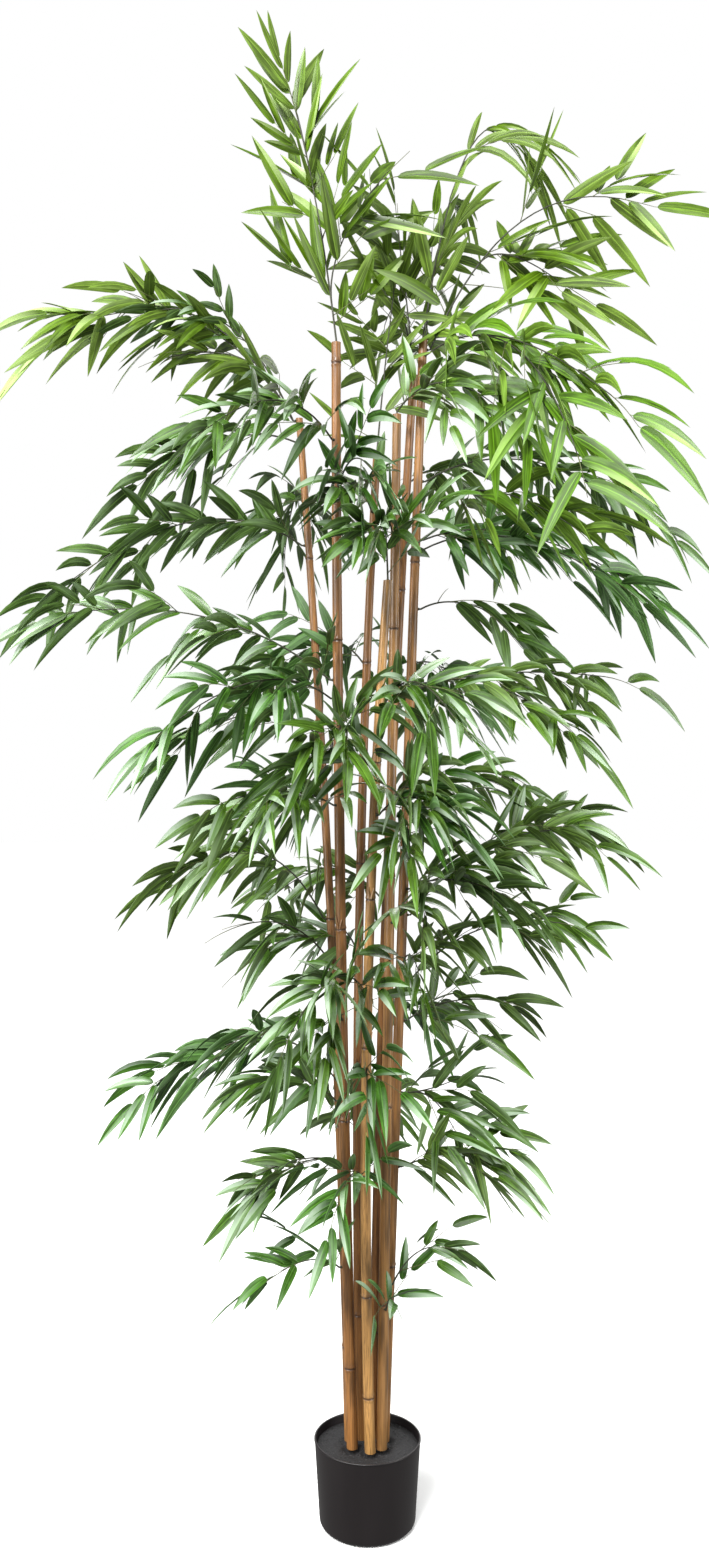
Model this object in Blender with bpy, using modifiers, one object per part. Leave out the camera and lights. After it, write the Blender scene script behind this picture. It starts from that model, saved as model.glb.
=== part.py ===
"""An artificial bamboo, about 2.4 m tall: seven natural canes set in the filling of a plastic pot, with
wire branches that carry fabric leaves. Metres, +Z up, the origin at the centre of the pot's underside."""

import random
from collections import namedtuple
from math import cos, radians, sin

import bmesh
import bpy
from mathutils import Matrix, Vector
from mathutils.bvhtree import BVHTree

UP = Vector((0, 0, 1))
CLEAR = 0.0003  # the gap between pieces that touch

# Pot and filling
POT_HEIGHT = 0.134
POT_RIM_RADIUS = 0.0845
POT_FOOT_RADIUS = 0.076
POT_FOOT_ROUNDING = 0.010
POT_WALL = 0.002
POT_LIP = 0.0016  # radius of the rolled lip
POT_STEPS = 32
FILL_TOP = 0.122

# Canes: where each stands on the filling, where its top is, how far its middle bows towards +X, and its
# radius at the foot and at the top. The rings are the joints of the natural cane, by height.
CANE_SIDES = 2  # bevel resolution
RING_SWELL = 1.10
RING_HALF_HEIGHT = 0.003
FOOT_STRAIGHT = 0.010  # the cut foot stands square on the filling over this height
Cane = namedtuple("Cane", "foot top bow foot_radius top_radius rings")
CANES = {
    "a": Cane((-0.029, 0.012), (-0.110, 0.050, 1.759), 0.011, 0.0080, 0.0060, (0.27, 0.62, 0.95, 1.25, 1.53)),
    "b": Cane((-0.024, -0.012), (-0.049, -0.04, 1.852), -0.006, 0.0092, 0.0075, (0.25, 0.64, 0.94, 1.39, 1.82)),
    "c": Cane((-0.010, 0.016), (0.015, 0.020, 1.687), -0.016, 0.0080, 0.0065, (0.32, 0.71, 1.04, 1.36)),
    "d": Cane((0.022, -0.014), (0.046, -0.020, 1.746), 0.0, 0.0090, 0.0070, (0.35, 0.66, 1.02, 1.41)),
    "e": Cane((0.010, 0.022), (0.076, 0.060, 1.832), -0.012, 0.0085, 0.0070, (0.29, 0.68, 1.10, 1.48)),
    "f": Cane((0.026, 0.010), (0.089, 0.020, 1.876), 0.0, 0.0090, 0.0072, (0.40, 0.83, 1.19, 1.52)),
    "g": Cane((0.004, -0.025), (0.03, -0.08, 1.477), -0.018, 0.0090, 0.0068, (0.21, 0.37, 0.76, 0.99, 1.20)),
}

# Branches. Each leaves its cane at height `foot`, heads for `azimuth` (degrees, 0 along +X, 90 along +Y),
# first climbs towards `lift` and ends `reach` away and `rise` higher. No twigs grow on its first `bare`
# share, and where `bough` is True that share is a piece of its own. `sag` is how far its leaves hang, and
# `roll` turns its fans of twigs from level to upright. `fork` is a second arm from the end of the bare
# share: azimuth, reach, rise and number of twigs.
BRANCH_FIELDS = "name cane foot azimuth reach lift rise bare twigs sag roll bough fork"
Branch = namedtuple("Branch", BRANCH_FIELDS, defaults=(False, None))
BRANCHES = [
    Branch("top_left", "b", 1.852, 176, 0.06, 0.20, 0.35, 0.14, 4, 0.0, 75, False, (5, 0.085, 0.20, 4)),
    Branch("top_mid", "c", 1.687, 20, 0.03, 0.14, 0.27, 0.45, 4, 0.2, 60),
    Branch("top_arch", "f", 1.876, 20, 0.175, 0.45, 0.335, 0.06, 5, 0.5, 0),
    Branch("top_right", "f", 1.860, -5, 0.30, 0.27, 0.23, 0.30, 4, 0.15, 70, True, (5, 0.13, -0.03, 3)),
    Branch("top_back", "e", 1.832, 100, 0.24, 0.20, 0.16, 0.06, 5, 0.3, 30),
    Branch("top_centre", "f", 1.845, 65, 0.03, 0.10, 0.19, 0.06, 5, 0.2, 30),
    Branch("front_right", "f", 1.850, -53, 0.385, 0.04, -0.155, 0.30, 4, 0.6, 40, True, (-62, 0.26, -0.24, 4)),
    Branch("left_1", "a", 1.755, 180, 0.31, 0.215, 0.17, 0.22, 5, 0.3, 10, True, (177, 0.14, 0.02, 3)),
    Branch("left_3", "a", 1.72, 195, 0.21, 0.03, -0.05, 0.15, 4, 0.8, 20, False, (180, 0.12, 0.01, 3)),
    Branch("left_4", "a", 1.552, 182, 0.38, 0.11, -0.065, 0.06, 6, 0.6, 20),
    Branch("left_5", "b", 1.329, 180, 0.40, 0.137, 0.105, 0.20, 6, 0.8, 20, True),
    Branch("left_6", "b", 1.30, 205, 0.25, 0.07, -0.04, 0.06, 5, 0.8, 20),
    Branch("left_7", "b", 1.134, 225, 0.21, 0.04, 0.01, 0.06, 5, 0.7, 20),
    Branch("left_8", "a", 0.95, 180, 0.20, 0.16, 0.085, 0.35, 4, 0.8, 10, True),
    Branch("left_9", "a", 0.89, 215, 0.16, 0.08, 0.06, 0.20, 3, 0.6, 10, False, (190, 0.09, -0.03, 2)),
    Branch("left_11", "c", 0.662, 182, 0.25, 0.166, 0.07, 0.35, 4, 0.7, 10, True, (185, 0.22, -0.05, 3)),
    Branch("left_12", "b", 0.67, 170, 0.12, 0.05, 0.03, 0.06, 4, 0.5, 20),
    Branch("left_13", "c", 0.556, 196, 0.15, 0.04, 0.0, 0.25, 3, 0.4, 10, False, (190, 0.09, -0.03, 3)),
    Branch("left_14", "b", 0.409, 190, 0.09, 0.03, 0.0, 0.06, 2, 0.3, 10),
    Branch("right_1", "f", 1.65, 10, 0.37, 0.10, -0.035, 0.30, 4, 0.9, 20, True),
    Branch("right_2", "f", 1.556, -5, 0.31, 0.05, -0.06, 0.06, 6, 0.8, 20),
    Branch("right_3", "f", 1.446, 10, 0.13, 0.03, -0.01, 0.35, 3, 0.7, 20),
    Branch("right_4", "f", 1.36, 60, 0.20, 0.02, -0.03, 0.06, 5, 0.4, 20),
    Branch("right_5", "f", 1.316, -14, 0.22, 0.05, -0.05, 0.20, 4, 0.7, 20, False, (12, 0.27, 0.01, 4)),
    Branch("right_6", "f", 1.15, 40, 0.22, 0.06, 0.03, 0.06, 5, 0.5, 20),
    Branch("right_7", "f", 0.958, -5, 0.25, 0.14, 0.165, 0.35, 4, 0.6, 10, True, (0, 0.19, 0.05, 4)),
    Branch("right_9", "f", 1.0, -45, 0.20, 0.04, 0.0, 0.06, 5, 0.5, 20),
    Branch("right_10", "f", 0.85, -10, 0.24, 0.12, 0.10, 0.25, 4, 0.7, 10, True),
    Branch("right_11", "f", 0.79, 5, 0.14, 0.04, 0.03, 0.06, 4, 0.6, 10),
    Branch("right_12", "f", 0.675, 0, 0.08, 0.0, 0.02, 0.20, 2, 0.3, 30, False, (-20, 0.06, -0.05, 2)),
    Branch("right_13", "f", 0.558, -15, 0.15, 0.03, 0.04, 0.06, 5, 0.5, 10),
    Branch("right_15", "d", 0.38, 0, 0.07, 0.06, 0.06, 0.06, 2, 0.2, 10),
    Branch("front_1", "g", 1.477, -95, 0.10, 0.08, 0.06, 0.06, 3, 0.4, 20),
    Branch("front_2", "g", 1.28, -70, 0.26, 0.08, -0.02, 0.06, 5, 0.5, 20),
    Branch("front_4", "g", 0.85, -115, 0.24, 0.08, -0.02, 0.06, 5, 0.5, 20),
    Branch("front_5", "b", 1.70, -125, 0.28, 0.08, -0.04, 0.06, 5, 0.7, 20),
    Branch("front_6", "d", 1.746, -40, 0.18, 0.07, -0.02, 0.06, 5, 0.7, 20),
    Branch("back_1", "a", 1.62, 100, 0.27, 0.09, -0.03, 0.06, 5, 0.7, 20),
    Branch("back_2", "e", 1.66, 55, 0.30, 0.09, -0.04, 0.06, 5, 0.7, 20),
    Branch("back_3", "c", 1.36, 120, 0.31, 0.10, -0.02, 0.06, 6, 0.7, 20),
    Branch("back_4", "e", 0.98, 130, 0.30, 0.09, -0.02, 0.06, 5, 0.7, 20),
    Branch("back_5", "c", 0.60, 80, 0.24, 0.08, -0.02, 0.06, 5, 0.7, 20),
]

# Wire, twigs and leaves
BOUGH_RADII = (0.0019, 0.0016)
STEM_RADII = (0.0025, 0.0017)
TWIG_RADIUS = 0.0010
BOUGH_SIDES = 1  # bevel resolution
BOUGH_STATIONS = 5
STEM_STATIONS = 5
FORK_STATIONS = 4
PEG = 0.004  # a wire leaves its cane square to the surface over this length
FORK_START = 0.006  # how far past the bare share the second arm starts
FORK_BARE = 0.25  # the second arm's own bare share
BEND_SHARE = 0.4  # where along its reach a branch bends over
TWIG_LENGTHS = (0.080, 0.120)
TWIG_SHRINK = (1.15, 0.55)  # how much of that length at the start and at the end of an arm
TWIG_FAN = (30, 52)  # degrees off its arm
TWIG_ROLL = 40  # degrees that a fan of twigs may be turned by
TWIG_DROP = 0.25  # share of its length that a twig hangs, times the branch's sag
END_FAN = 8  # degrees that an end twig or an end leaf may turn off
FIRST_TWIG = 0.3  # where the first twig stands in its share of the arm
LEAF_FAN = (24, 44)  # degrees off its twig
LEAF_TILT = 30  # degrees that a leaf may rise or drop out of its fan, and may turn about its midrib
LEAF_SIZES = (0.85, 1.05)
LEAF_DROP = 0.45  # how far a leaf's tip may hang, times the branch's sag
LEAF_LENGTH = 0.128
LEAF_WIDTH = 0.025
LEAF_THICKNESS = 0.0014
LEAF_WIDEST = 0.35  # share of the length from the root
LEAF_SPACING = 0.42  # between the roots of leaves on one twig, as a share of its length
SIDE_LEAVES = 2  # on a side twig
END_LEAVES = 3  # on the twig that carries an arm on
LEAF_REACH = 0.24  # a mass's space ends this far from its own wire
CROWN_FLOOR = 0.30  # and this high, so that the foot of the clump is bare

LEAF_TONES = {"left_1": "light", "front_right": "bright"}  # the others are dark, and those at the top light
COLOURS = {
    "pot": (0.030, 0.028, 0.029),
    "fill": (0.012, 0.011, 0.010),
    "cane": (0.42, 0.22, 0.09),
    "wire": (0.05, 0.04, 0.02),
    "light": (0.16, 0.32, 0.04),
    "bright": (0.10, 0.30, 0.04),
    "dark": (0.04, 0.13, 0.04),
}
ROUGHNESS = {"pot": 0.5, "fill": 0.95, "cane": 0.45, "wire": 0.6, "light": 0.5, "bright": 0.5, "dark": 0.5}

Arm = namedtuple("Arm", "foot start bend end side bare twigs")
Twig = namedtuple("Twig", "start end across leaves")
Obstacle = namedtuple("Obstacle", "owner low high tree")


# ---- Scene, materials and small helpers ----


def clear_scene():
    for obj in list(bpy.data.objects):
        bpy.data.objects.remove(obj, do_unlink=True)


def new_collection(name):
    collection = bpy.data.collections.new(name)
    bpy.context.scene.collection.children.link(collection)
    return collection


def material(name, kind):
    made = bpy.data.materials.new(name)
    made.use_nodes = True
    shader = made.node_tree.nodes["Principled BSDF"]
    shader.inputs["Base Color"].default_value = (*COLOURS[kind], 1)
    shader.inputs["Roughness"].default_value = ROUGHNESS[kind]
    shader.inputs["Metallic"].default_value = 0
    return made


def add_object(name, data, collection, kind=None):
    obj = bpy.data.objects.new(name, data)
    collection.objects.link(obj)
    if kind:
        data.materials.clear()
        data.materials.append(material(name, kind))
    return obj


def mesh_from(bm, name):
    mesh = bpy.data.meshes.new(name)
    bm.to_mesh(mesh)
    bm.free()
    return mesh


def evaluated_mesh(obj):
    """The object's mesh with its curve or modifiers applied."""
    bpy.context.view_layer.update()
    graph = bpy.context.evaluated_depsgraph_get()
    return bpy.data.meshes.new_from_object(obj.evaluated_get(graph))


def remove_object(obj):
    data = obj.data
    bpy.data.objects.remove(obj, do_unlink=True)
    store = bpy.data.meshes if isinstance(data, bpy.types.Mesh) else bpy.data.curves
    store.remove(data)


# ---- Tubes ----


def tube(name, points, radii, collection, sides=2, section=None):
    """A curve through the points: of a round section with the given bevel resolution, or of the given one."""
    curve = bpy.data.curves.new(name, "CURVE")
    curve.dimensions = "3D"
    curve.use_fill_caps = True
    if section:
        curve.bevel_mode = "OBJECT"
        curve.bevel_object = section
        scale = 1
    else:
        curve.bevel_depth = max(radii)
        curve.bevel_resolution = sides
        scale = 1 / max(radii)
    spline = curve.splines.new("POLY")
    spline.points.add(len(points) - 1)
    for knot, place, radius in zip(spline.points, points, radii):
        knot.co = (*place, 1)
        knot.radius = radius * scale
    return add_object(name, curve, collection)


def three_sided_section(collection):
    """A triangle of radius one, which the stems of the masses are swept with."""
    curve = bpy.data.curves.new("section", "CURVE")
    spline = curve.splines.new("POLY")
    spline.points.add(2)
    for index, knot in enumerate(spline.points):
        angle = radians(120 * index)
        knot.co = (cos(angle), sin(angle), 0, 1)
    spline.use_cyclic_u = True
    section = add_object("section", curve, collection)
    section.hide_render = True
    section.display_type = "WIRE"
    return section


def as_mesh(obj, name, collection, kind=None):
    """Replaces a curve object by a closed mesh object."""
    mesh = evaluated_mesh(obj)
    matrix = obj.matrix_world.copy()
    bm = bmesh.new()
    bm.from_mesh(mesh)
    bpy.data.meshes.remove(mesh)
    bmesh.ops.remove_doubles(bm, verts=bm.verts, dist=1e-6)
    bmesh.ops.recalc_face_normals(bm, faces=bm.faces)
    remove_object(obj)
    made = add_object(name, mesh_from(bm, name), collection, kind)
    made.matrix_world = matrix
    return made


# ---- Pot and filling ----


def arc(centre, radius, start, end, steps):
    """Points of a circle in the profile's plane, from one angle to another in degrees."""
    angles = [radians(start + (end - start) * step / steps) for step in range(steps + 1)]
    return [(centre[0] + radius * cos(angle), centre[1] + radius * sin(angle)) for angle in angles]


def inner_wall_radius(height):
    """The radius of the pot's inner wall at a height above the rounded foot."""
    foot = POT_FOOT_RADIUS - POT_WALL
    rim = POT_RIM_RADIUS - 2 * POT_LIP
    share = (height - POT_FOOT_ROUNDING) / (POT_HEIGHT - POT_LIP - POT_FOOT_ROUNDING)
    return foot + (rim - foot) * share


def turned(name, profile, kind, collection):
    mesh = bpy.data.meshes.new(name)
    edges = [(index, index + 1) for index in range(len(profile) - 1)]
    mesh.from_pydata([(x, 0, z) for x, z in profile], edges, [])
    obj = add_object(name, mesh, collection, kind)
    screw = obj.modifiers.new("turn", "SCREW")
    screw.steps = screw.render_steps = POT_STEPS
    screw.use_merge_vertices = True
    screw.merge_threshold = 1e-5
    return obj


def pot(collection):
    corner = (POT_FOOT_RADIUS - POT_FOOT_ROUNDING, POT_FOOT_ROUNDING)
    lip = (POT_RIM_RADIUS - POT_LIP, POT_HEIGHT - POT_LIP)
    profile = [(0, POT_WALL)]
    profile += arc(corner, POT_FOOT_ROUNDING - POT_WALL, -90, 0, 3)
    profile += arc(lip, POT_LIP, 180, -60, 4)
    profile += arc(corner, POT_FOOT_ROUNDING, 0, -90, 3)
    profile += [(0, 0)]
    return turned("pot", profile, "pot", collection)


def filling(collection):
    corner = (POT_FOOT_RADIUS - POT_FOOT_ROUNDING, POT_FOOT_ROUNDING)
    profile = [(0, FILL_TOP), (inner_wall_radius(FILL_TOP) - CLEAR, FILL_TOP)]
    profile += arc(corner, POT_FOOT_ROUNDING - POT_WALL - CLEAR, 0, -90, 3)
    profile += [(0, POT_WALL + CLEAR)]
    return turned("fill", profile, "fill", collection)


# ---- Canes ----


def cane_axis(cane, height):
    share = (height - FILL_TOP) / (cane.top[2] - FILL_TOP)
    x = cane.foot[0] + (cane.top[0] - cane.foot[0]) * share + cane.bow * 4 * share * (1 - share)
    y = cane.foot[1] + (cane.top[1] - cane.foot[1]) * share
    return Vector((x, y, height))


def cane_radius(cane, height):
    share = (height - FILL_TOP) / (cane.top[2] - FILL_TOP)
    return cane.foot_radius + (cane.top_radius - cane.foot_radius) * share


def cane_stem(letter, collection):
    """One cane: a square cut foot, a ring at each joint and a cut top."""
    cane = CANES[letter]
    foot = FILL_TOP + CLEAR
    points = [Vector((*cane.foot, foot)), Vector((*cane.foot, foot + FOOT_STRAIGHT))]
    radii = [cane.foot_radius, cane.foot_radius]
    for ring in cane.rings:
        for offset, swell in ((-RING_HALF_HEIGHT, 1), (0, RING_SWELL), (RING_HALF_HEIGHT, 1)):
            points.append(cane_axis(cane, ring + offset))
            radii.append(cane_radius(cane, ring) * swell)
    points.append(cane_axis(cane, cane.top[2]))
    radii.append(cane.top_radius)
    stem = tube("cane", points, radii, collection, CANE_SIDES)
    return as_mesh(stem, "cane_" + letter, collection, "cane")


# ---- The branching rule ----


def arch(start, bend, end, share):
    return start * (1 - share) ** 2 + bend * 2 * share * (1 - share) + end * share**2


def slope(start, bend, end, share):
    return ((bend - start) * (1 - share) + (end - bend) * share).normalized()


def heading(azimuth):
    """The level direction of an azimuth, and the level direction to its left."""
    angle = radians(azimuth)
    return Vector((cos(angle), sin(angle), 0)), Vector((-sin(angle), cos(angle), 0))


def turn(along, across, angle):
    return (along * cos(angle) + across * sin(angle)).normalized()


def branch_start(branch, out, canes):
    """The point on the cane's surface that the wire leaves from, and the way it leaves there."""
    cane = CANES[branch.cane]
    axis = cane_axis(cane, branch.foot)
    if branch.foot >= cane.top[2]:
        return axis, UP
    surface, face, *_ = canes[branch.cane].ray_cast(axis, out)
    return surface, face


def arms_of(branch, canes):
    """The main arm, and the second one of a branch that forks."""
    out, side = heading(branch.azimuth)
    surface, face = branch_start(branch, out, canes)
    foot = surface + face * CLEAR
    root = foot + face * PEG
    bend = root + out * BEND_SHARE * branch.reach + UP * branch.lift
    end = root + out * branch.reach + UP * branch.rise
    arms = [Arm(foot, root, bend, end, side, branch.bare, branch.twigs)]
    if branch.fork:
        azimuth, reach, rise, twigs = branch.fork
        along = slope(root, bend, end, branch.bare)
        start = arch(root, bend, end, branch.bare) + along * FORK_START
        out, side = heading(azimuth)
        end = start + out * reach + UP * rise
        bend = start + along * BEND_SHARE * (end - start).length
        arms.append(Arm(start, start, bend, end, side, FORK_BARE, twigs))
    return arms


def twigs_of(branch, arms):
    """Twigs alternate from side to side of each arm, and the last one carries the arm on."""
    dice = random.Random(branch.name)
    twigs = []
    for arm in arms:
        for index in range(arm.twigs + 1):
            last = index == arm.twigs
            share = 1.0 if last else arm.bare + (1 - arm.bare) * (index + FIRST_TWIG) / arm.twigs
            along = slope(arm.start, arm.bend, arm.end, share)
            over = along.cross(arm.side)
            over = -over if over.z < 0 else over
            roll = radians(branch.roll + dice.uniform(-TWIG_ROLL, TWIG_ROLL))
            across = (arm.side * cos(roll) + over * sin(roll)) * (1 if index % 2 else -1)
            fan = radians(dice.uniform(-END_FAN, END_FAN) if last else dice.uniform(*TWIG_FAN))
            shrink = TWIG_SHRINK[0] + (TWIG_SHRINK[1] - TWIG_SHRINK[0]) * share
            length = dice.uniform(*TWIG_LENGTHS) * shrink
            start = arch(arm.start, arm.bend, arm.end, share)
            drop = UP * branch.sag * length * TWIG_DROP
            leaves = END_LEAVES if last else SIDE_LEAVES
            twigs.append(Twig(start, start + turn(along, across, fan) * length - drop, across, leaves))
    return twigs


def leaf_places(branch, twig, dice):
    """Root, direction, flat side and length of each leaf on a twig, from its tip back."""
    along = (twig.end - twig.start).normalized()
    side = (twig.across - along * twig.across.dot(along)).normalized()
    over = along.cross(side)
    for index in range(twig.leaves):
        root = twig.end - (twig.end - twig.start) * LEAF_SPACING * index
        tilt = radians(dice.uniform(-LEAF_TILT, LEAF_TILT))
        way = (side * cos(tilt) + over * sin(tilt)) * (-1 if index % 2 else 1)
        fan = radians(dice.uniform(*LEAF_FAN) if index else dice.uniform(-END_FAN, END_FAN))
        direction = turn(along, way, fan) - UP * branch.sag * dice.uniform(0.0, LEAF_DROP)
        direction.normalize()
        flat = along.cross(way)
        flat = (flat - direction * flat.dot(direction)).normalized()
        spin = Matrix.Rotation(radians(dice.uniform(-LEAF_TILT, LEAF_TILT)), 3, direction)
        yield root, direction, spin @ flat, LEAF_LENGTH * dice.uniform(*LEAF_SIZES)


def arm_points(arm, first, last, stations):
    shares = [first + (last - first) * step / (stations - 1) for step in range(stations)]
    return [arch(arm.start, arm.bend, arm.end, share) for share in shares]


def tone_of(branch):
    return "light" if branch.name.startswith("top") else LEAF_TONES.get(branch.name, "dark")


# ---- Solids of the masses ----


def section_at(root, direction, flat, half_width, half_thickness):
    """Three points across a twig or a leaf: its two edges and the keel between them."""
    side = direction.cross(flat)
    return (
        root - side * half_width + flat * half_thickness,
        root + side * half_width + flat * half_thickness,
        root - flat * half_thickness,
    )


def blade_section(root, direction, flat, length):
    widest = root + direction * LEAF_WIDEST * length
    return section_at(widest, direction, flat, LEAF_WIDTH / 2, LEAF_THICKNESS / 2)


def bridge(bm, lower, upper):
    for side in range(3):
        after = (side + 1) % 3
        bm.faces.new((lower[side], lower[after], upper[after], upper[side]))


def close_to(bm, ring, point):
    apex = bm.verts.new(point)
    for side in range(3):
        bm.faces.new((ring[side], ring[(side + 1) % 3], apex))


def leaf_solid(root, direction, flat, length):
    """A side leaf: its root at the middle of the twig, two edges and a keel, and its tip."""
    bm = bmesh.new()
    blade = [bm.verts.new(point) for point in blade_section(root, direction, flat, length)]
    close_to(bm, blade, root)
    close_to(bm, blade, root + direction * length)
    bmesh.ops.recalc_face_normals(bm, faces=bm.faces)
    return bm


def twig_solid(twig, root, direction, flat, length):
    """A three-sided twig from the middle of its wire, widening into the leaf at its end."""
    along = (twig.end - twig.start).normalized()
    over = along.cross(twig.across).normalized()
    bm = bmesh.new()
    sections = (
        section_at(twig.start, along, over, TWIG_RADIUS, TWIG_RADIUS),
        section_at(root, along, over, TWIG_RADIUS, TWIG_RADIUS),
        blade_section(root, direction, flat, length),
    )
    start, end, blade = ([bm.verts.new(point) for point in section] for section in sections)
    bm.faces.new(start)
    bridge(bm, start, end)
    bridge(bm, end, blade)
    close_to(bm, blade, root + direction * length)
    bmesh.ops.recalc_face_normals(bm, faces=bm.faces)
    return bm


def obstacle(owner, bm):
    points = [vert.co for vert in bm.verts]
    low = Vector([min(point[axis] for point in points) for axis in range(3)])
    high = Vector([max(point[axis] for point in points) for axis in range(3)])
    return Obstacle(owner, low, high, BVHTree.FromBMesh(bm, epsilon=CLEAR))


def obstacle_of(obj, owner):
    bm = bmesh.new()
    mesh = evaluated_mesh(obj)
    bm.from_mesh(mesh)
    bpy.data.meshes.remove(mesh)
    made = obstacle(owner, bm)
    bm.free()
    return made


def boxes_meet(one, other):
    return all(
        one.low[axis] <= other.high[axis] + CLEAR and other.low[axis] <= one.high[axis] + CLEAR
        for axis in range(3)
    )


def is_clear(bm, owner, obstacles):
    """Whether the piece stays off every limb and every other mass."""
    mine = obstacle(owner, bm)
    return not any(
        other.owner != owner and boxes_meet(mine, other) and mine.tree.overlap(other.tree)
        for other in obstacles
    )


def in_space(bm, arms):
    """Whether the piece keeps to the space round its own wires, above the clump's bare foot."""
    middles = [middle for arm in arms for middle in arm_points(arm, 0.0, 1.0, STEM_STATIONS)]
    return all(
        vert.co.z > CROWN_FLOOR and min((vert.co - middle).length for middle in middles) < LEAF_REACH
        for vert in bm.verts
    )


def main_body(bm):
    """Drops loose scraps and sealed hollows, which are shells apart from the largest one."""
    unseen = set(bm.faces)
    shells = []
    while unseen:
        shell = set()
        front = [unseen.pop()]
        while front:
            face = front.pop()
            shell.add(face)
            near = {other for edge in face.edges for other in edge.link_faces} & unseen
            unseen -= near
            front.extend(near)
        shells.append(shell)
    shells.sort(key=len)
    scraps = [face for shell in shells[:-1] for face in shell]
    bmesh.ops.delete(bm, geom=scraps, context="FACES")


def fused(stem, pieces, collection, kind):
    """One Boolean union of the stem with its twigs and leaves, applied."""
    union = stem.modifiers.new("union", "BOOLEAN")
    union.operation = "UNION"
    union.operand_type = "COLLECTION"
    union.collection = pieces
    union.solver = "MANIFOLD"
    mesh = evaluated_mesh(stem)
    name = stem.name
    remove_object(stem)
    for piece in list(pieces.objects):
        remove_object(piece)
    bm = bmesh.new()
    bm.from_mesh(mesh)
    bpy.data.meshes.remove(mesh)
    main_body(bm)
    bmesh.ops.triangulate(bm, faces=bm.faces)
    return add_object(name, mesh_from(bm, name), collection, kind)


def tapered(radii, count):
    return [radii[0] + (radii[1] - radii[0]) * step / (count - 1) for step in range(count)]


def bough(branch, arm, collection):
    """The bare stretch of a branch, from its cane to the start of its mass."""
    points = [arm.foot, *arm_points(arm, 0.0, branch.bare, BOUGH_STATIONS)]
    wire = tube("wire", points, tapered(BOUGH_RADII, len(points)), collection, BOUGH_SIDES)
    return as_mesh(wire, "bough_" + branch.name, collection, "wire")


def wires_of(branch, arms, section, collection):
    """The wires inside a mass. The first starts clear of its bough's tip, or of its cane."""
    main, *forks = arms
    if branch.bough:
        points = arm_points(main, branch.bare, 1.0, STEM_STATIONS)
        points[0] = points[0] + slope(main.start, main.bend, main.end, branch.bare) * CLEAR
    else:
        points = [main.foot, *arm_points(main, 0.0, 1.0, STEM_STATIONS)]
    stem = tube("wire", points, tapered(STEM_RADII, len(points)), collection, section=section)
    wires = [as_mesh(stem, "leaves_" + branch.name, collection)]
    for arm in forks:
        points = arm_points(arm, 0.0, 1.0, FORK_STATIONS)
        fork = tube("fork", points, tapered(STEM_RADII, FORK_STATIONS), collection, section=section)
        wires.append(as_mesh(fork, "fork", collection))
    return wires


def mass(branch, arms, wires, obstacles, collection, pieces):
    """Twigs and leaves on one branch, fused to its wires."""
    stem, *forks = wires
    for fork in forks:
        collection.objects.unlink(fork)
        pieces.objects.link(fork)
    dice = random.Random(branch.name + " leaves")
    for twig in twigs_of(branch, arms):
        end_leaf, *side_leaves = leaf_places(branch, twig, dice)
        wood = twig_solid(twig, *end_leaf)
        if not (in_space(wood, arms) and is_clear(wood, stem.name, obstacles)):
            wood.free()
            continue
        add_object("twig", mesh_from(wood, "twig"), pieces)
        for place in side_leaves:
            leaf = leaf_solid(*place)
            if in_space(leaf, arms) and is_clear(leaf, stem.name, obstacles):
                add_object("leaf", mesh_from(leaf, "leaf"), pieces)
            else:
                leaf.free()
    return fused(stem, pieces, collection, tone_of(branch))


def build():
    clear_scene()
    parts = new_collection("artificial bamboo")
    guides = new_collection("guides")
    pieces = new_collection("pieces of one mass")
    section = three_sided_section(guides)
    limbs = {name: make(parts) for name, make in (("pot", pot), ("fill", filling))}
    limbs |= {letter: cane_stem(letter, parts) for letter in CANES}
    obstacles = [obstacle_of(limb, limb.name) for limb in limbs.values()]
    canes = {letter: found.tree for letter, found in zip(limbs, obstacles)}
    arms = [arms_of(branch, canes) for branch in BRANCHES]
    boughs = [bough(branch, own[0], parts) for branch, own in zip(BRANCHES, arms) if branch.bough]
    wires = [wires_of(branch, own, section, parts) for branch, own in zip(BRANCHES, arms)]
    obstacles += [obstacle_of(limb, limb.name) for limb in boughs]
    obstacles += [obstacle_of(wire, stem.name) for stem, *forks in wires for wire in (stem, *forks)]
    for branch, own_arms, own_wires in zip(BRANCHES, arms, wires):
        made = mass(branch, own_arms, own_wires, obstacles, parts, pieces)
        obstacles.append(obstacle_of(made, made.name))
    bpy.data.collections.remove(pieces)
    for obj in parts.objects:
        if obj.type == "MESH" and not obj.name.startswith("leaves"):
            obj.data.shade_smooth()
            obj.data.set_sharp_from_angle(angle=radians(40))


build()
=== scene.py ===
"""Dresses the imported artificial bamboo: ringed canes, wires, twigs and folded leaves grown by the part's own
rule, a smooth pot and its grainy filling, on a pale floor in studio light."""

import random
from collections import namedtuple
from math import cos, exp, pi, radians, sin, tau

import bpy
from mathutils import Matrix, Vector, noise


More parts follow.
